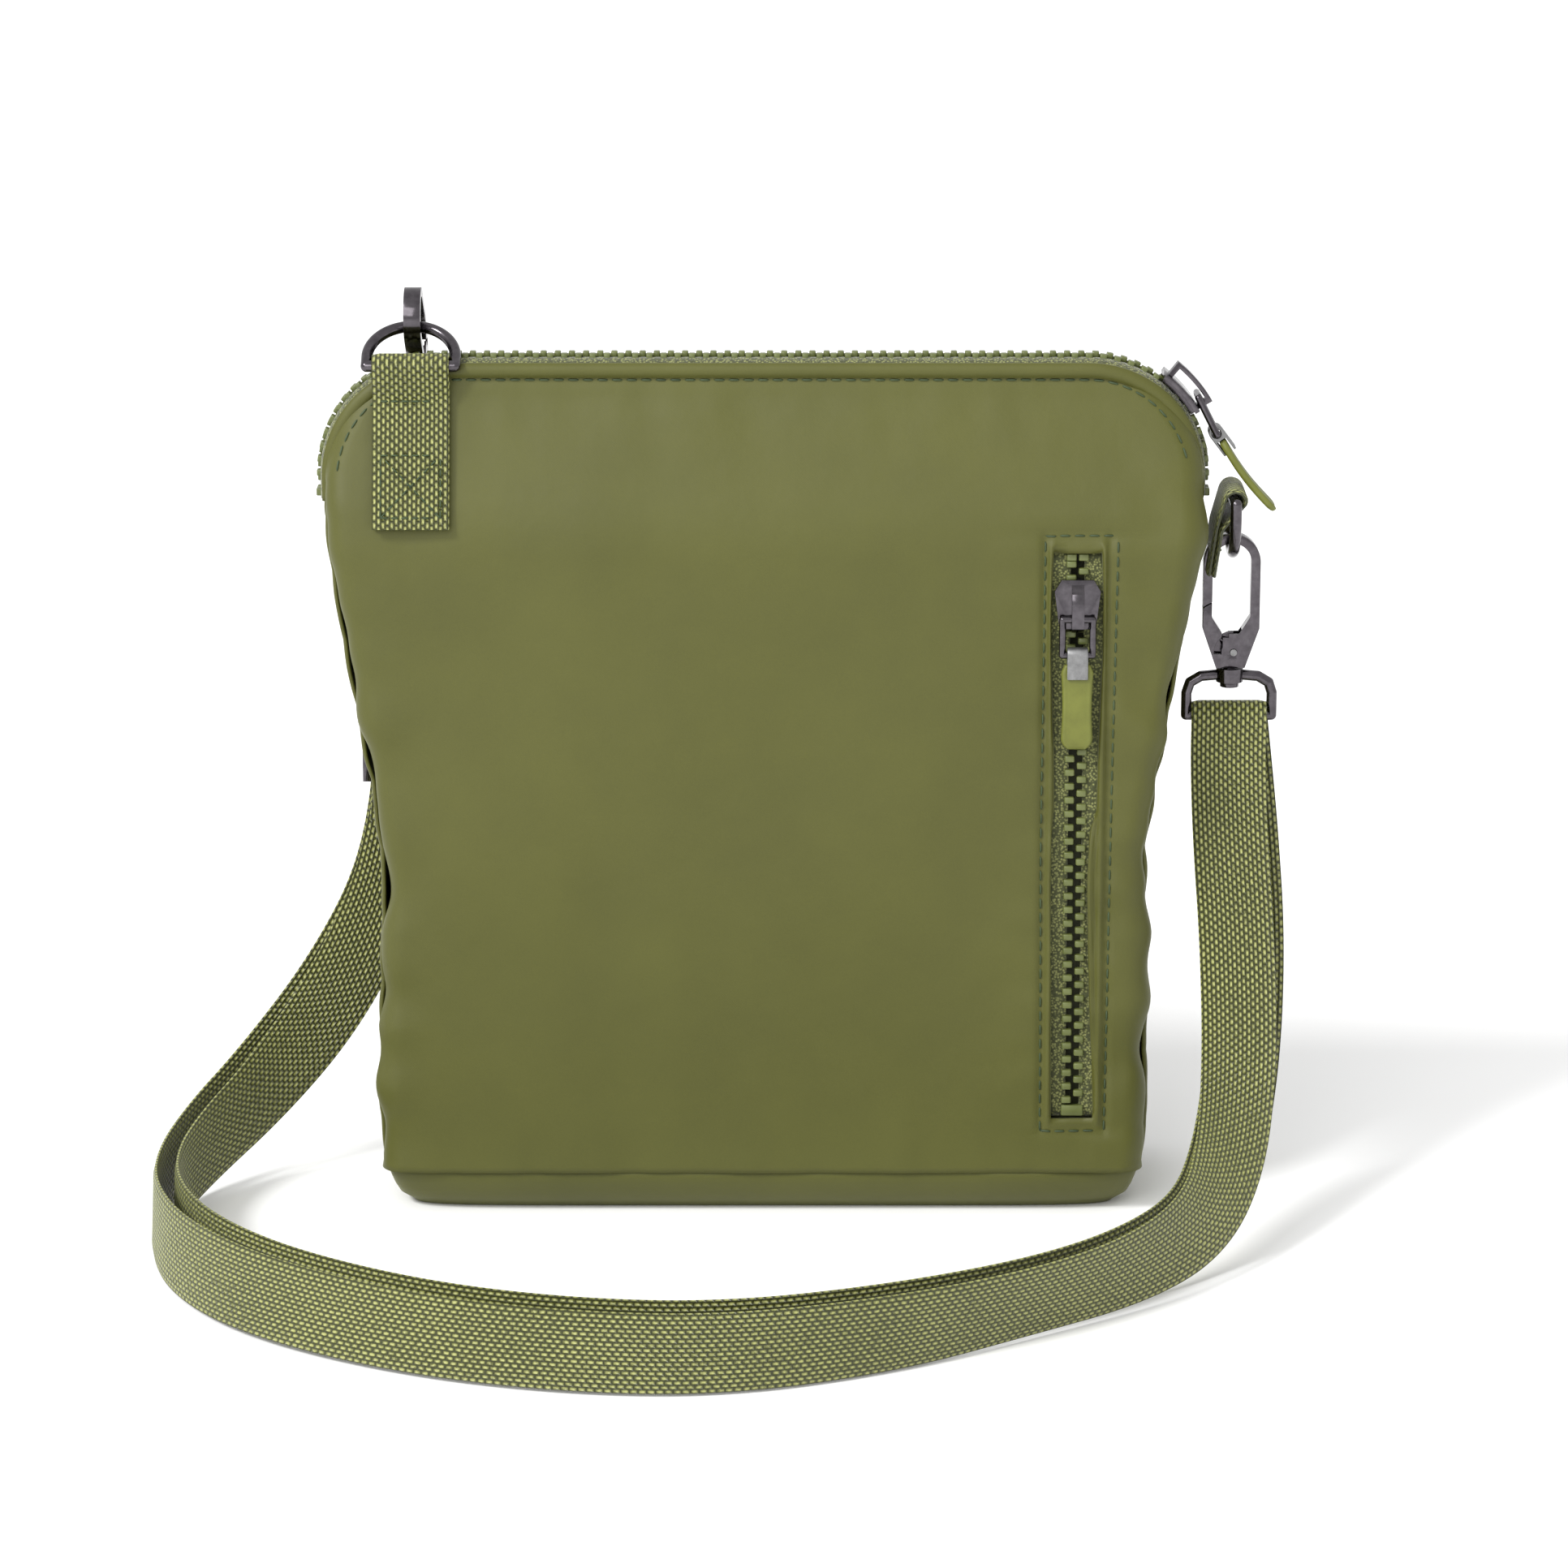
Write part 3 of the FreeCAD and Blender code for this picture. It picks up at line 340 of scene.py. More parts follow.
def wave(x, y, z, size):
    """Smooth noise from -1 to 1 at a feature size in metres."""
    return noise.noise(Vector((x, y, z)) / size)


def bell(distance, width):
    return math.exp(-((distance / width) ** 2))


def grid_faces(rows, columns, skip=()):
    faces = []
    for r in range(rows - 1):
        for c in range(columns - 1):
            if (r, c) not in skip:
                a = r * columns + c
                faces.append((a, a + 1, a + columns + 1, a + columns))
    return faces


def push_out(points, rows, columns, amount, outward):
    """Moves each grid point along the surface's own normal."""
    grid = np.array(points).reshape(rows, columns, 3)
    du, dv = np.gradient(grid, axis=1), np.gradient(grid, axis=0)
    normal = np.cross(du, dv)
    normal /= np.linalg.norm(normal, axis=2)[:, :, None] + 1e-12
    sign = np.sign(normal[rows // 2, columns // 2] @ np.array(outward))
    amounts = np.array([amount(*p) for p in points]).reshape(rows, columns)
    return (grid + normal * sign * amounts[:, :, None]).reshape(-1, 3)


# ---------------------------------------------------------------- bag shell


def rows_of(spans):
    """Heights from (low, high, count) spans, each end shared with the next."""
    out = []
    for low, high, count in spans:
        out += list(np.linspace(low, high, count, endpoint=False))
    return [*out, spans[-1][1]]


def panel_row(z, depth, side, marks, counts):
    """One level line of a panel from its left seam, round both corners, to its right seam."""
    a = half_width(z)
    c = min(CORNER, depth - 0.0012, a * 0.2)
    seam = depth - SEAM_INSET if z < SIDE_TOP else EDGE_Y
    seam = min(max(seam, EDGE_Y - 0.0001), depth - c + 0.0002)
    n_side, n_arc = counts[0], counts[1]
    line = [(-a, seam + (depth - c - seam) * i / n_side) for i in range(n_side)]
    for i in range(n_arc):
        t = math.pi / 2 * i / n_arc
        line.append((-a + c - c * math.cos(t), depth - c + c * math.sin(t)))
    inner = a - c
    stops = [-inner, *[m * min(1.0, inner / 0.096) for m in marks], inner]
    for (low, high), count in zip(zip(stops, stops[1:]), counts[2:]):
        line += [(low + (high - low) * i / count, depth) for i in range(count)]
    for i in range(n_arc + 1):
        t = math.pi / 2 * (1 - i / n_arc)
        line.append((inner + c * math.cos(t), depth - c + c * math.sin(t)))
    line += [(a, depth - c + (seam - depth + c) * i / n_side) for i in range(1, n_side + 1)]
    return [(x, side * y, z) for x, y in line]


def rear_relief(x, y, z):
    """How far the rear panel stands out: fill, seam dips, and the puckers along its stitching."""
    a = half_width(min(z, SHOULDER_Z))
    u = min(abs(x) / a, 1.0)
    v = min(max(z / 0.226, 0.0), 1.0)
    out = 0.0016 * (1 - u**4) * math.sin(math.pi * min(v + 0.04, 1.0)) ** 0.5
    out += 0.0009 * wave(x, 1.3, z, 0.055) + 0.0005 * wave(x, 5.1, z * 0.6, 0.024)
    top = bell(0.226 - z, 0.016)
    out += 0.0006 * top * wave(x, 2.0, z * 0.3, 0.0075)
    out -= 0.0009 * bell(0.2225 - z, 0.0012)
    low = bell(z - 0.012, 0.014)
    out += 0.0006 * low * wave(x, 7.0, z * 0.3, 0.010)
    edge = max(0.0, (u - 0.86) / 0.14)
    out += 0.0022 * edge * wave(x * 0.3, 3.7, z, 0.0125)
    right = max(0.0, min((x - 0.091) / 0.01, 1.0)) * bell(z - 0.12, 0.07)
    out += 0.003 * right * wave(x * 0.6, 9.0, z + x * 0.8, 0.013)
    if WINDOW[0] - 0.012 < z < WINDOW[1] + 0.012:
        near = bell(x - POCKET_X, 0.017)
        out += 0.0009 * near * wave(x * 0.5, 11.0, z, 0.0085)
        inside = between(z, WINDOW[0] - 0.0045, WINDOW[1] + 0.0055)
        for line in POCKET_STITCH:
            out -= 0.0008 * inside * bell(x - line, 0.0011)
        for line in (WINDOW[0] - 0.0035, WINDOW[1] + 0.0045):
            out -= 0.0007 * bell(z - line, 0.0011) * bell(x - POCKET_X, 0.0095) ** 0.4
        lip = abs(abs(x - POCKET_X) - WINDOW_HALF - 0.0012)
        mouth = inside * between(z, WINDOW[0] - 0.001, WINDOW[1] + 0.002)
        out += 0.0006 * mouth * bell(lip, 0.0012)
        out -= 0.0012 * mouth * bell(abs(x - POCKET_X) - WINDOW_HALF, 0.0006)
    tab = bell(x + 0.0915, 0.009) * bell(z - 0.2, 0.02)
    return (out * (1 - 0.9 * tab) - 0.0006 * tab) * mouth_ease(y)


def mouth_ease(y):
    """Keeps the cloth flat beside the mouth zip, where its slider runs."""
    return min(max((abs(y) - EDGE_Y) / 0.003, 0.0), 1.0)


def quilt_waver(x):
    return 0.0012 * wave(x, 4.0, 0.0, 0.03)


def front_relief(x, y, z):
    """Horizontal quilted channels of the padded front."""
    a = half_width(min(z, SHOULDER_Z))
    u = min(abs(x) / a, 1.0)
    line = z + quilt_waver(x)
    cell = (line - 0.006) / QUILT_PITCH
    arch = abs(math.sin(math.pi * cell)) ** 0.62
    fill = 0.0046 * arch * (1 - 0.45 * u**6)
    press = bell(x + 0.094, 0.017) * bell(z - 0.12, 0.06)
    fill *= 1 - 0.75 * press
    fill *= 1 - 0.6 * bell(0.226 - z, 0.012)
    crease = (1 - arch) * 0.0007 * wave(x, 6.0, z * 0.2, 0.006)
    plump = 0.0008 * arch * wave(x, 8.0, z, 0.022)
    gathers = 0.0006 * wave(x, 12.0, z * 0.25, 0.008)
    return (fill + crease + plump + gathers * arch) * mouth_ease(y)


def gusset_relief(x, y, z):
    ends = math.sin(math.pi * min(max((z - BASE_TOP) / (SIDE_TOP - BASE_TOP), 0), 1)) ** 0.5
    cell = (z - 0.006) / QUILT_PITCH
    folds = 0.0008 * abs(math.sin(math.pi * cell)) + 0.0009 * wave(x, y * 0.5, z, 0.011)
    tab = bell(z - 0.183, 0.014) if x > 0 else 0.0
    return (0.0006 + folds) * ends * (1 - tab)


def solid_sheet(piece, thick=SHEET_THICK):
    solid = piece.modifiers.new("thickness", "SOLIDIFY")
    solid.thickness = thick
    solid.offset = -1
    apply_modifiers(piece)
    piece.data.polygons.foreach_set("use_smooth", [True] * len(piece.data.polygons))


def face_outward(piece, outward):
    """Turns the faces over if they look inwards."""
    mesh = piece.data
    total = sum((p.normal.dot(Vector(outward)) * p.area for p in mesh.polygons), 0.0)
    if total < 0:
        mesh.flip_normals()


def open_window(points):
    """Opens the pocket's mouth a little wider near its top."""
    for i, p in enumerate(points):
        if abs(p[0] - POCKET_X) < 0.0075 and WINDOW[0] - 0.002 < p[2] < WINDOW[1] + 0.002:
            gape = 0.0012 * bell(p[2] - 0.160, 0.026) + 0.0005
            away = max(0.0, 1 - abs(abs(p[0] - POCKET_X) - WINDOW_HALF) / 0.0026)
            points[i][0] += math.copysign(gape * away, p[0] - POCKET_X)
    return points


def make_rear_panel():
    low_edge, high_edge = WINDOW
    spans = [(BASE_TOP, low_edge, 9), (low_edge, high_edge, 96), (high_edge, 0.218, 26)]
    spans.append((0.218, PANEL_TOP, 14))
    heights = rows_of(spans)
    marks = (0.070, POCKET_X - WINDOW_HALF, POCKET_X + WINDOW_HALF, 0.0925)
    counts = (5, 8, 90, 10, 4, 8, 4)
    points = []
    for z in heights:
        points += panel_row(z, half_depth(z), -1, marks, counts)
    columns = len(points) // len(heights)
    first = 5 + 8 + 90 + 10
    low = heights.index(WINDOW[0])
    high = min(range(len(heights)), key=lambda i: abs(heights[i] - WINDOW[1]))
    hole = {(r, c) for r in range(low, high) for c in range(first, first + 4)}
    moved = push_out(points, len(heights), columns, rear_relief, (0, -1, 0))
    moved = open_window(moved)
    faces = grid_faces(len(heights), columns, hole)
    piece = cloth_piece("rear_panel_cloth", moved, faces, "rear_panel")
    face_outward(piece, (0, -1, 0))
    tree = BVHTree.FromObject(piece, bpy.context.evaluated_depsgraph_get())
    solid_sheet(piece)
    return tree


def make_front_panel():
    heights = rows_of([(BASE_TOP, PANEL_TOP, 190)])
    points = []
    for z in heights:
        depth = half_depth(z) + profile(FRONT_PAD, z)
        points += panel_row(z, depth, 1, (0.0,), (5, 8, 60, 60))
    columns = len(points) // len(heights)
    moved = push_out(points, len(heights), columns, front_relief, (0, 1, 0))
    piece = cloth_piece("front_panel_quilted", moved, grid_faces(len(heights), columns), "front_panel")
    face_outward(piece, (0, 1, 0))
    tree = BVHTree.FromObject(piece, bpy.context.evaluated_depsgraph_get())
    solid_sheet(piece)
    return tree


def make_gusset(side, name):
    heights = rows_of([(BASE_TOP, SIDE_TOP + 0.002, 110)])
    points = []
    for z in heights:
        zz = min(z, SIDE_TOP)
        a = half_width(z)
        rear = max(half_depth(zz) - SEAM_INSET, EDGE_Y)
        front = max(half_depth(zz) + profile(FRONT_PAD, zz) - SEAM_INSET, EDGE_Y)
        for y in np.linspace(-rear, front, 22):
            edge = max(0.0, 1 - min(y + rear, front - y) / 0.002)
            points.append((side * (a - 0.0006 * edge), y, z))
    columns = 22
    moved = push_out(points, len(heights), columns, gusset_relief, (side, 0, 0))
    piece = cloth_piece(f"{name}_cloth", moved, grid_faces(len(heights), columns), name)
    face_outward(piece, (side, 0, 0))
    solid_sheet(piece)
    return piece


def make_bottom_panel():
    """Tray-shaped base with a soft wavy seam where the panels join it."""
    levels = [0.0, 0.0006, 0.0018, 0.0035, 0.006, 0.0085, 0.0105, BASE_TOP + 0.0006]
    columns = 200
    corner_power = 0.22
    points = []
    for z in levels:
        a, b = half_width(max(z, 0.0002)), half_depth(z)
        front = b + float(np.interp(z, *zip(*FRONT_PAD)))
        for i in range(columns):
            t = 2 * math.pi * i / columns
            x = a * math.copysign(abs(math.cos(t)) ** corner_power, math.cos(t))
            depth = b if math.sin(t) < 0 else front
            y = depth * math.copysign(abs(math.sin(t)) ** corner_power, math.sin(t))
            ripple = 1 + 0.006 * wave(x, y, 3.0, 0.016) * min(z / 0.006, 1)
            points.append((x * ripple, y * ripple, z))
    faces = []
    for r in range(len(levels) - 1):
        for c in range(columns):
            n = (c + 1) % columns
            faces.append((r * columns + c, r * columns + n, (r + 1) * columns + n, (r + 1) * columns + c))
    middle = len(points)
    points.append((0, 0.0015, 0.0))
    faces += [(middle, (c + 1) % columns, c) for c in range(columns)]
    piece = cloth_piece("bottom_panel_cloth", points, faces, "bottom_panel")
    face_outward(piece, (0, 0, -1))
    solid_sheet(piece)


# ---------------------------------------------------------------- stitching


def stitches(name, lines, tree, outward, radius=0.00028, pitch=STITCH_PITCH, body="root"):
    """Rows of thread stitches laid on a surface. Each line is a list of points just off it."""
    points, faces = [], []
    away = Vector(outward)
    for line in lines:
        spots, normals = [], []
        for p in resample(line, pitch / 2):
            hit, normal, _, _ = tree.ray_cast(Vector(p) + away * 0.03, -away, 0.08)
            if hit is not None:
                spots.append(hit)
                normals.append(normal if normal.dot(away) > 0 else -normal)
            else:
                spots.append(None)
                normals.append(None)
        for i in range(0, len(spots) - 2, 2):
            a, b = spots[i], spots[i + 1]
            if a is None or b is None:
                continue
            b = a + (b - a) * 1.45
            along = (b - a).normalized()
            up = normals[i]
            wide = along.cross(up).normalized()
            base = len(points)
            for share, lift, fat in ((0, -0.2, 0.5), (0.2, 0.6, 1), (0.8, 0.6, 1), (1, -0.2, 0.5)):
                centre = a + (b - a) * share + up * radius * lift
                for j in range(6):
                    t = 2 * math.pi * j / 6
                    points.append(centre + (wide * math.cos(t) + up * math.sin(t)) * radius * fat)
            for k in range(3):
                for j in range(6):
                    n = (j + 1) % 6
                    low = base + k * 6
                    faces.append((low + j, low + n, low + 6 + n, low + 6 + j))
            faces.append(tuple(base + j for j in reversed(range(6))))
            faces.append(tuple(base + 18 + j for j in range(6)))
    return mesh_piece(name, points, faces, materials["thread"], body=body)


def resample(line, step):
    """Points a fixed step apart along straight runs."""
    pts = np.array([tuple(p) for p in line], float)
    lengths = np.concatenate([[0], np.cumsum(np.linalg.norm(np.diff(pts, axis=0), axis=1))])
    places = np.arange(0, lengths[-1], step)
    return np.stack([np.interp(places, lengths, pts[:, k]) for k in range(3)], axis=1)


def mouth_path(radius, leg=0.0, turn=12):
    """The mouth zip's line at a radius: up the left side, over the top, down the right side."""
    points = [(-SHOULDER_X - radius, SHOULDER_Z - leg)] if leg else []
    for side in (-1, 1):
        for i in range(turn + 1):
            t = i / turn * math.pi / 2
            angle = t if side < 0 else math.pi / 2 - t
            x = SHOULDER_X + radius * math.cos(angle)
            points.append((side * x, SHOULDER_Z + radius * math.sin(angle)))
    if leg:
        points.append((SHOULDER_X + radius, SHOULDER_Z - leg))
    return points


def make_stitching(rear_tree, front_tree):
    top = [(x, -0.02, z) for x, z in mouth_path(EDGE_RADIUS - 0.0036, 0.0, 14) if abs(x) < 0.111]
    left, right = POCKET_STITCH
    low, high = WINDOW[0] - 0.0035, WINDOW[1] + 0.0045
    pocket = [
        [(left, -0.03, low), (left - 0.0006, -0.03, 0.1), (left, -0.03, high)],
        [(right, -0.03, low), (right + 0.0012, -0.03, 0.13), (right + 0.002, -0.03, high)],
        [(left, -0.03, low), (right, -0.03, low)],
        [(left, -0.03, high), (right + 0.002, -0.03, high)],
    ]
    stitches("rear_topstitch", [top, *pocket], rear_tree, (0, -1, 0))
    top_front = [(x, 0.02, z) for x, z in mouth_path(EDGE_RADIUS - 0.0036, 0.0, 14) if abs(x) < 0.111]
    rows = []
    n = 1
    while 0.006 + n * QUILT_PITCH < 0.215:
        z = 0.006 + n * QUILT_PITCH
        places = np.linspace(-0.094, 0.094, 60)
        rows.append([(x, 0.04, z - quilt_waver(x)) for x in places])
        n += 1
    stitches("front_quilt_stitch", [top_front, *rows], front_tree, (0, 1, 0), pitch=0.0034)


# ---------------------------------------------------------------- zips


def band_along(path, section, normal_of):
    """Sweeps an open section of (y, height off the path) points along a path in the XZ plane."""
    points = []
    for x, z in path:
        nx, nz = normal_of(x, z)
        for y, r in section:
            points.append((x + nx * r, y, z + nz * r))
    return points


def mouth_normal(x, z):
    cx = max(-SHOULDER_X, min(SHOULDER_X, x))
    if z < SHOULDER_Z:
        return math.copysign(1, x), 0.0
    away = Vector((x - cx, z - SHOULDER_Z))
    return tuple(away.normalized())


def fine_path(radius, leg, step=0.002):
    path = [(x, 0.0, z) for x, z in mouth_path(radius, leg, 30)]
    return [(p[0], p[2]) for p in resample(path, step)]


def make_mouth_tapes():
    for name, side in (("rear", -1), ("front", 1)):
        base = CHAIN_RADIUS
        path = fine_path(base, 0.0062)
        section = [(side * y, r) for y, r in TAPE_SECTION]
        points = band_along(path, section, mouth_normal)
        faces = grid_faces(len(path), len(section))
        node = f"main_zip_tape_{name}"
        piece = mesh_piece(f"mouth_tape_{name}", points, faces, materials["tape"], [node])
        face_outward(piece, (0, 0, 1))
        solid_sheet(piece, 0.0005)
        # the folded cloth edge beside the tape
        roll = [(side * y, r + 0.0002) for y, r in FACING_SECTION]
        points = band_along(path, roll, mouth_normal)
        edge = cloth_piece(f"mouth_facing_{name}", points, grid_faces(len(path), len(roll)), None)
        face_outward(edge, (0, 0, 1))
        solid_sheet(edge, 0.0006)


def make_pocket_tapes():
    for name, side in (("left", -1), ("right", 1)):
        lo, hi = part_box(f"pocket_zip_tape_{name}")
        inner, outer = POCKET_X + side * 0.0018, POCKET_X + side * 0.0078
        heights = np.linspace(lo.z, hi.z, 80)
        points = []
        for z in heights:
            share = (z - lo.z) / (hi.z - lo.z)
            y = lo.y + (hi.y - lo.y - 0.0008) * share + 0.0004
            for x in np.linspace(inner, outer, 5):
                points.append((x, y, z))
        node = f"pocket_zip_tape_{name}"
        faces = grid_faces(80, 5)
        piece = mesh_piece(f"pocket_tape_{name}", points, faces, materials["tape"], [node])
        face_outward(piece, (0, -1, 0))
        solid_sheet(piece, 0.0005)


# ---------------------------------------------------------------- webbing


def spline_points(route, offset=0.0):
    """Points read from the route's own smooth curve, or from the line beside it."""
    curve = bpy.data.curves.new("route", "CURVE")
    curve.dimensions = "3D"
    spline = curve.splines.new("NURBS")
    spline.points.add(len(route) - 1)
    for point, r in zip(spline.points, route):
        at = Vector(r[:3]) + Vector(r[3:]).normalized() * offset
        point.co = (*at, 1)
    spline.order_u = 3
    spline.use_endpoint_u = True
    spline.resolution_u = 10
    holder = bpy.data.objects.new("route", curve)
    scene.collection.objects.link(holder)
    bpy.context.view_layer.update()
    mesh = bpy.data.meshes.new_from_object(holder)
    points = np.array([tuple(v.co) for v in mesh.vertices])
    bpy.data.objects.remove(holder)
    bpy.data.meshes.remove(mesh)
    return points


def webbing_mesh(centres, across, width, thick):
    """A woven band with rounded selvedges: points, faces and the cloth's own flat coordinates."""
    across_steps = 10
    profile_points = []
    for i in range(across_steps + 1):
        s = -1 + 2 * i / across_steps
        profile_points.append((s, 1.0 if abs(s) < 0.99 else 0.35))
    for i in range(across_steps + 1):
        s = 1 - 2 * i / across_steps
        profile_points.append((s, -1.0 if abs(s) < 0.99 else -0.35))
    points, flat = [], []
    run = 0.0
    count = len(centres)
    for i in range(count):
        before, after = centres[max(i - 1, 0)], centres[min(i + 1, count - 1)]
        along = (after - before) / (np.linalg.norm(after - before) + 1e-12)
        wide = across[i] - along * (across[i] @ along)
        wide /= np.linalg.norm(wide) + 1e-12
        out = np.cross(along, wide)
        if i:
            run += float(np.linalg.norm(centres[i] - centres[i - 1]))
        for s, t in profile_points:
            points.append(centres[i] + wide * s * width / 2 + out * t * thick / 2)
            flat.append((run, (s + 1) * width / 2))
    ring = len(profile_points)
    faces = []
    for r in range(count - 1):
        for c in range(ring):
            n = (c + 1) % ring
            faces.append((r * ring + c, r * ring + n, (r + 1) * ring + n, (r + 1) * ring + c))
    faces.append(tuple(reversed(range(ring))))
    faces.append(tuple((count - 1) * ring + c for c in range(ring)))
    return points, faces, flat


def lay_flat(piece, flat):
    """Gives the cloth its own coordinates, in metres."""
    layer = piece.data.uv_layers.new(name="cloth")
    for loop in piece.data.loops:
        layer.data[loop.index].uv = flat[loop.vertex_index]


def webbing_piece(name, centres, across, replaces=(), body="root", width=WEB_WIDTH, thick=WEB_THICK):
    points, faces, flat = webbing_mesh(np.array(centres), np.array(across), width, thick)
    piece = mesh_piece(name, points, faces, materials["webbing"], replaces, body)
    piece.data.set_sharp_from_angle(angle=math.radians(50))
    lay_flat(piece, flat)
    return piece


def make_strap(route, name, node):
    centres = spline_points(route)
    across = spline_points(route, WEB_WIDTH / 2) - centres
    piece = webbing_piece(name, centres, across, [node])
    return piece


def make_tabs():
    """Both webbing tabs: two layers sewn together, with a loop round the ring's bar."""
    joints = frame["record"]["behaviour"]["joints"]
    bars = {j["child"]: Vector(j["pos_m"]) for j in joints if j["child"].startswith("ring_")}
    tilt = math.atan2(0.0116, 0.036)
    up = Vector((0, math.sin(tilt), math.cos(tilt)))
    out = Vector((0, -math.cos(tilt), math.sin(tilt)))
    tab_loop("strap_tab_left", bars["ring_left"], up, out, Vector((1, 0, 0)), 0.0425, 0.0037, 0.0345)
    lean = math.radians(8)
    up = Vector((math.sin(lean), 0, math.cos(lean)))
    out = Vector((math.cos(lean), 0, -math.sin(lean)))
    tab_loop("strap_tab_right", bars["ring_right"], up, out, Vector((0, 1, 0)), 0.0205, 0.0045, 0.0125)


def tab_loop(node, bar, up, out, wide, drop, stand, flat_length):
    """A strip that runs up the panel, round the bar, and back down behind itself."""
    foot = bar - up * drop - out * stand
    low, gap = 0.0021, 0.0007
    radius = 0.0028
    stops = (0.0, flat_length * 0.5, flat_length)
    line = [foot + up * stop + out * low for stop in stops]
    for i in range(9):
        t = math.pi * (1.0 - i / 8.0)
        line.append(bar + up * (radius * math.sin(t)) - out * (radius * math.cos(t)))
    line += [foot + up * stop + out * gap for stop in reversed(stops)]
    centres = resample([tuple(p) for p in line], 0.0007)
    across = [tuple(wide)] * len(centres)
    piece = webbing_piece(f"{node}_webbing", centres, across, [node], thick=0.0012)
    # thread rows across the tab and the crossed box at its foot
    tree = BVHTree.FromObject(piece, bpy.context.evaluated_depsgraph_get())
    top = foot + up * flat_length * 0.97 + out * 0.01
    middle = foot + up * flat_length * 0.56 + out * 0.01
    base = foot + up * 0.003 + out * 0.01
    half = wide * 0.0078
    lines = [
        [middle - half, middle + half], [base - half, base + half], [base - half, middle - half],
        [base + half, middle + half], [base - half, middle + half], [base + half, middle - half],
        [top - half, top + half],
    ]
    if node.endswith("right"):
        lines = [lines[0], lines[-1]]
    stitches(f"{node}_stitch", lines, tree, tuple(out), radius=0.00024, pitch=0.0027)


# ---------------------------------------------------------------- hardware


def dress(node, material, bevel=0.0):
    piece = frame["nodes"][node]
    piece.data.materials.clear()
    piece.data.materials.append(materials[material])
    if bevel:
        weld = piece.modifiers.new("weld", "WELD")
        weld.merge_threshold = 0.00002
        edge = piece.modifiers.new("edges", "BEVEL")
        edge.width = bevel
        edge.segments = 2
        edge.limit_method = "ANGLE"
        edge.angle_limit = math.radians(34)
    piece.data.polygons.foreach_set("use_smooth", [True] * len(piece.data.polygons))
    piece.data.set_sharp_from_angle(angle=math.radians(40))


def make_hardware():
    for side in ("left", "right"):
        dress(f"snap_hook_{side}", "metal", 0.0005)
        dress(f"hook_gate_{side}", "metal", 0.0004)
        dress(f"gate_rivet_{side}", "clamp", 0.0002)
        dress(f"gate_spring_{side}", "steel")
        dress(f"swivel_loop_{side}", "metal")
        dress(f"ring_{side}", "metal")
    for name in ("main", "pocket"):
        dress(f"{name}_slider", "metal", 0.0003)
        dress(f"{name}_pull_link", "metal")
        dress(f"{name}_pull_clamp", "clamp", 0.0002)
        dress(f"{name}_zip_end_stops", "teeth", 0.0003)
    dress("strap_slide", "metal", 0.0004)
    for row in ("main_zip_teeth_rear", "main_zip_teeth_front", "pocket_zip_teeth_left", "pocket_zip_teeth_right"):
        dress(row, "teeth", 0.00035)
    dress("lining", "lining")
    dress("pocket_bag", "lining")


def pull_tab(node, body):
    """Soft rubber tab: thick middle, thin rolled border, rounded foot, a slight curl."""
    lo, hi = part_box(node)
    joint = next(j for j in frame["joints"] if j["child"] == body)
    pin = Vector(joint["pos_m"])
    main = node.startswith("main")
    if main:
        end = Vector((hi.x - 0.0012, 0, lo.z + 0.0014))
        wide = Vector((0, 1, 0))
    else:
        end = Vector((pin.x, (lo.y + hi.y) / 2 + (lo.y - hi.y) * 0.12, lo.z + 0.0005))
        end.y = pin.y - (pin.z - end.z) * math.tan(math.atan2(9.0, 175.0))
        wide = Vector((1, 0, 0))
    along = (end - pin).normalized()
    out = along.cross(wide)
    if (main and out.x < 0) or (not main and out.y > 0):
        out = -out
    length = (end - pin).length
    rows, columns = 34, 15
    start = 0.0024
    points = []
    for face in (1, -1):
        for r in range(rows):
            t = r / (rows - 1)
            s = start + (length - start) * t
            half = 0.0044 * (1 - 0.12 * math.sin(math.pi * t))
            foot = max(0.0, (s - (length - 0.0032)) / 0.0032)
            half *= math.sqrt(max(1 - foot**2 * 0.75, 0.02))
            neck = max(0.0, 1 - (s - start) / 0.002)
            half *= 1 - 0.25 * neck
            for c in range(columns):
                u = -1 + 2 * c / (columns - 1)
                border = abs(u) ** 8 + (foot**4)
                inset = 0.0009 + 0.00028 * (1 if 0.72 < abs(u) < 0.97 else 0) - 0.0005 * min(border, 1)
                bow = 0.0009 * math.sin(math.pi * t) * (-1 if main else 0.4)
                points.append(pin + along * s + wide * u * half + out * (face * inset + bow))
    size = rows * columns
    faces = []
    for r in range(rows - 1):
        for c in range(columns - 1):
            a = r * columns + c
            faces.append((a, a + 1, a + columns + 1, a + columns))
            b = a + size
            faces.append((b, b + columns, b + columns + 1, b + 1))
    rim = list(range(columns)) + [r * columns + columns - 1 for r in range(1, rows)]
    rim += [(rows - 1) * columns + c for c in range(columns - 2, -1, -1)]
    rim += [r * columns for r in range(rows - 2, 0, -1)]
    for i, a in enumerate(rim):
        b = rim[(i + 1) % len(rim)]
        faces.append((b, a, a + size, b + size))
    piece = mesh_piece(f"{node}_rubber", points, faces, materials["rubber"], [node], body)
    piece.modifiers.new("smooth", "SUBSURF").levels = 1
    apply_modifiers(piece)
    piece.data.polygons.foreach_set("use_smooth", [True] * len(piece.data.polygons))
    return piece


# ---------------------------------------------------------------- stage


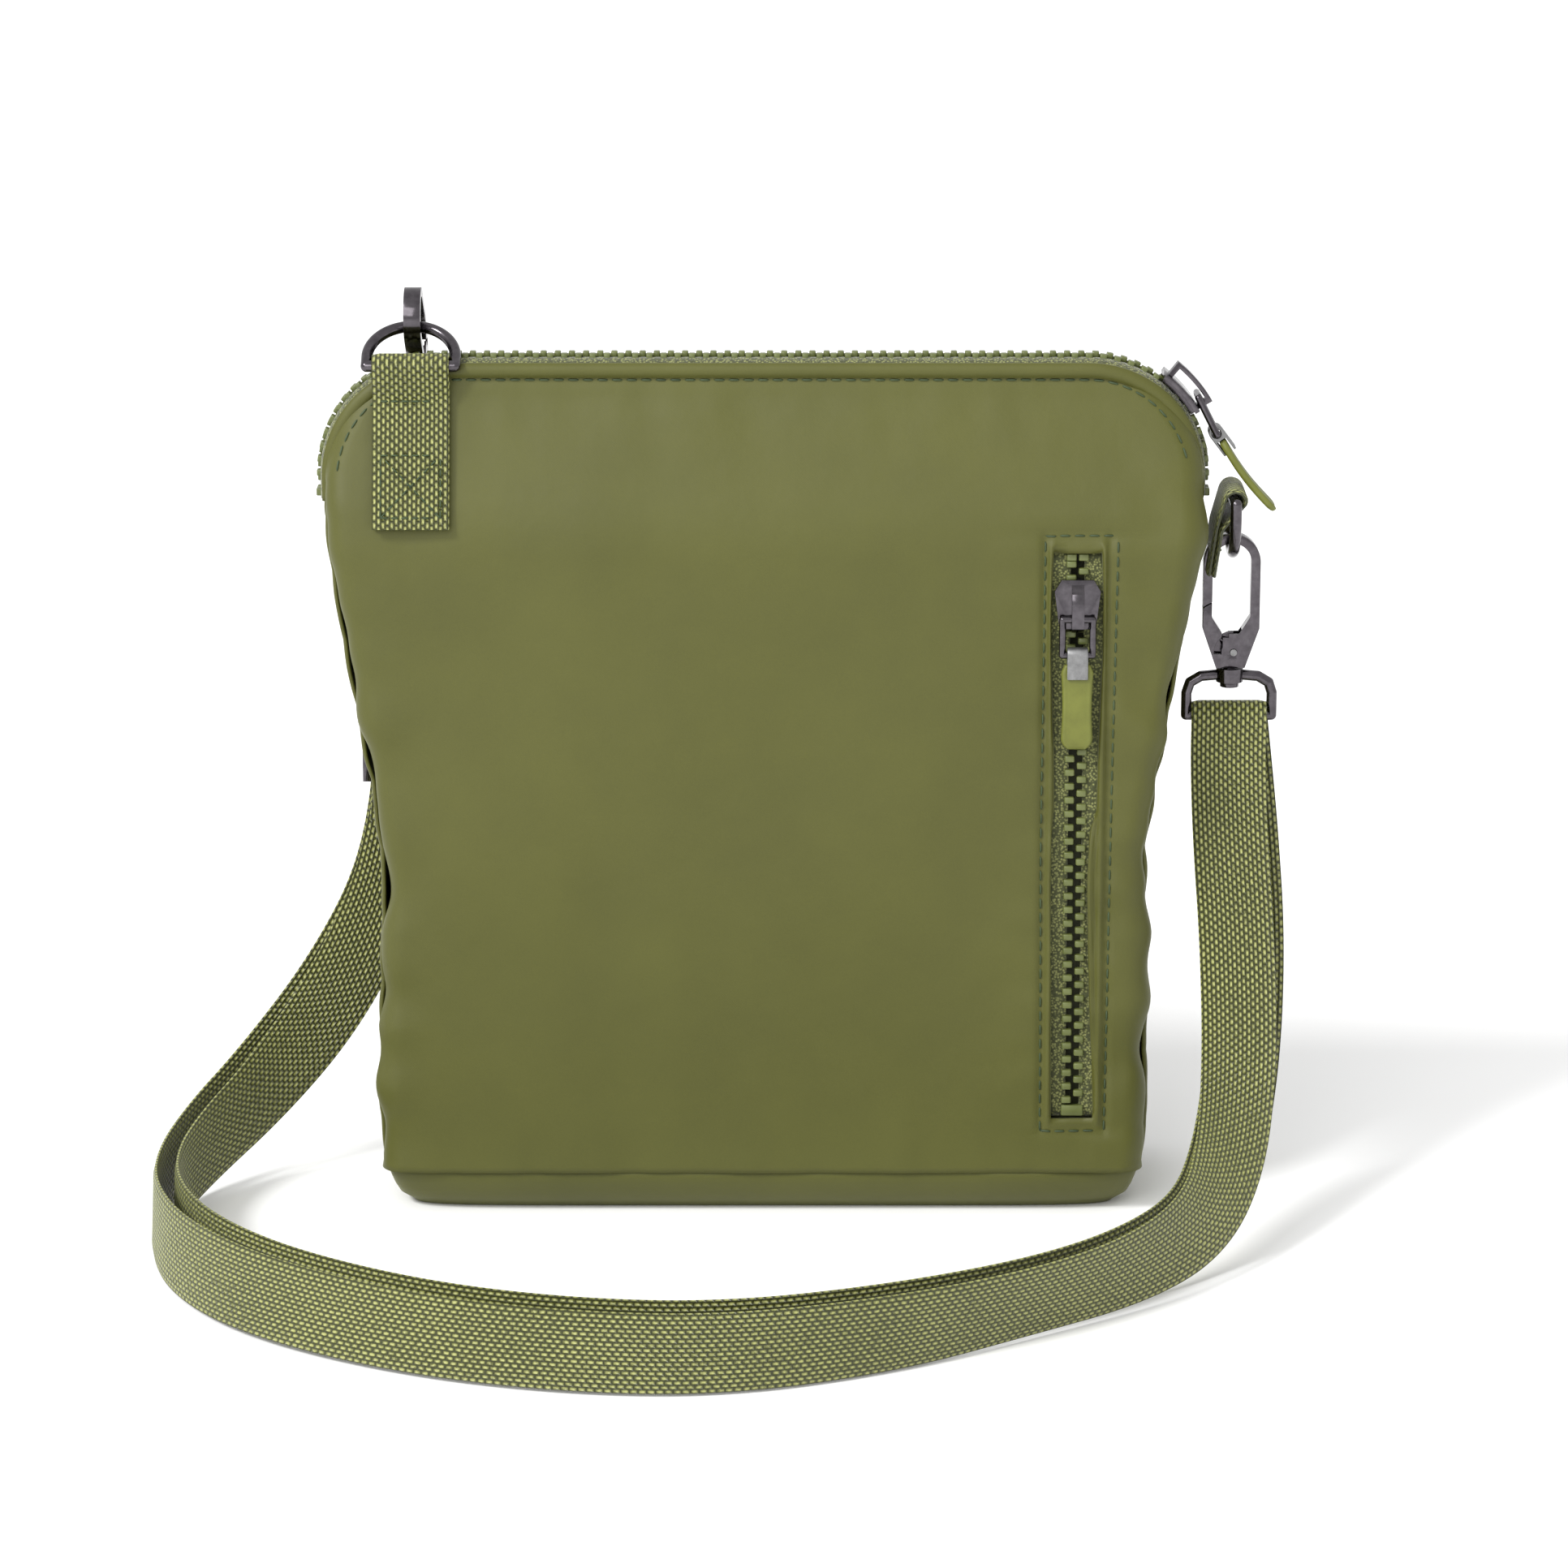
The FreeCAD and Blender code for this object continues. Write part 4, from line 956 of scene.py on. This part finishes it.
def make_stage():
    mesh = bpy.data.meshes.new("floor")
    size = 6.0
    corners = [(-size, -size, 0), (size, -size, 0), (size, size, 0), (-size, size, 0)]
    mesh.from_pydata(corners, [], [(0, 1, 2, 3)])
    floor = bpy.data.objects.new("floor", mesh)
    scene.collection.objects.link(floor)
    m = Nodes("studio_white")
    grain = m.noise(m.place(), 3.0, 2.0, 0.5)
    white = m.ramp(grain, [(0.2, (0.93, 0.93, 0.93)), (0.8, (0.96, 0.96, 0.955))])
    m.put(white, m.shader.inputs["Base Color"])
    set_fixed(m.shader, Roughness=0.9, Specular_IOR_Level=0.1)
    mesh.materials.append(m.material)
    world = bpy.data.worlds.new("studio")
    world.use_nodes = True
    world.node_tree.nodes["Background"].inputs["Color"].default_value = (1, 1, 1, 1)
    world.node_tree.nodes["Background"].inputs["Strength"].default_value = 0.9
    scene.world = world
    scene.view_settings.view_transform = "Standard"
    add_sun("key", (-0.8, -0.62, 0.95), 2.3, 14)
    add_area("fill", (-0.5, -1.3, 0.9), 9.0, 0.9)


def add_sun(name, towards, strength, angle):
    light = bpy.data.lights.new(name, "SUN")
    light.energy = strength
    light.angle = math.radians(angle)
    lamp = bpy.data.objects.new(name, light)
    lamp.rotation_euler = Vector(towards).to_track_quat("Z", "Y").to_euler()
    scene.collection.objects.link(lamp)


def add_area(name, at, power, size):
    light = bpy.data.lights.new(name, "AREA")
    light.energy = power
    light.size = size
    lamp = bpy.data.objects.new(name, light)
    lamp.location = at
    lamp.rotation_euler = (Vector(at) - Vector((0, 0, 0.1))).to_track_quat("Z", "Y").to_euler()
    scene.collection.objects.link(lamp)


def make_camera():
    data = bpy.data.cameras.new("camera")
    data.lens, data.sensor_width = 131.0, 36.0
    camera = bpy.data.objects.new("camera", data)
    elevation = math.radians(15.0)
    aim = Vector((0.0055, -0.020, 0.117))
    camera.location = aim + Vector((0, -math.cos(elevation), math.sin(elevation))) * 1.5
    camera.rotation_euler = (camera.location - aim).to_track_quat("Z", "Y").to_euler()
    data.clip_start, data.clip_end = 0.05, 30
    scene.collection.objects.link(camera)
    scene.camera = camera


make_camera()
make_strap(LONG_RUN, "strap_long_webbing", "strap_long_run")
make_strap(RETURN_RUN, "strap_return_webbing", "strap_return_run")
rear_tree = make_rear_panel()
front_tree = make_front_panel()
make_gusset(-1, "gusset_left")
make_gusset(1, "gusset_right")
make_bottom_panel()
make_stitching(rear_tree, front_tree)
make_mouth_tapes()
make_pocket_tapes()
make_tabs()
make_hardware()
pull_tab("main_pull_tab", "main_tab")
pull_tab("pocket_pull_tab", "pocket_tab")
make_stage()
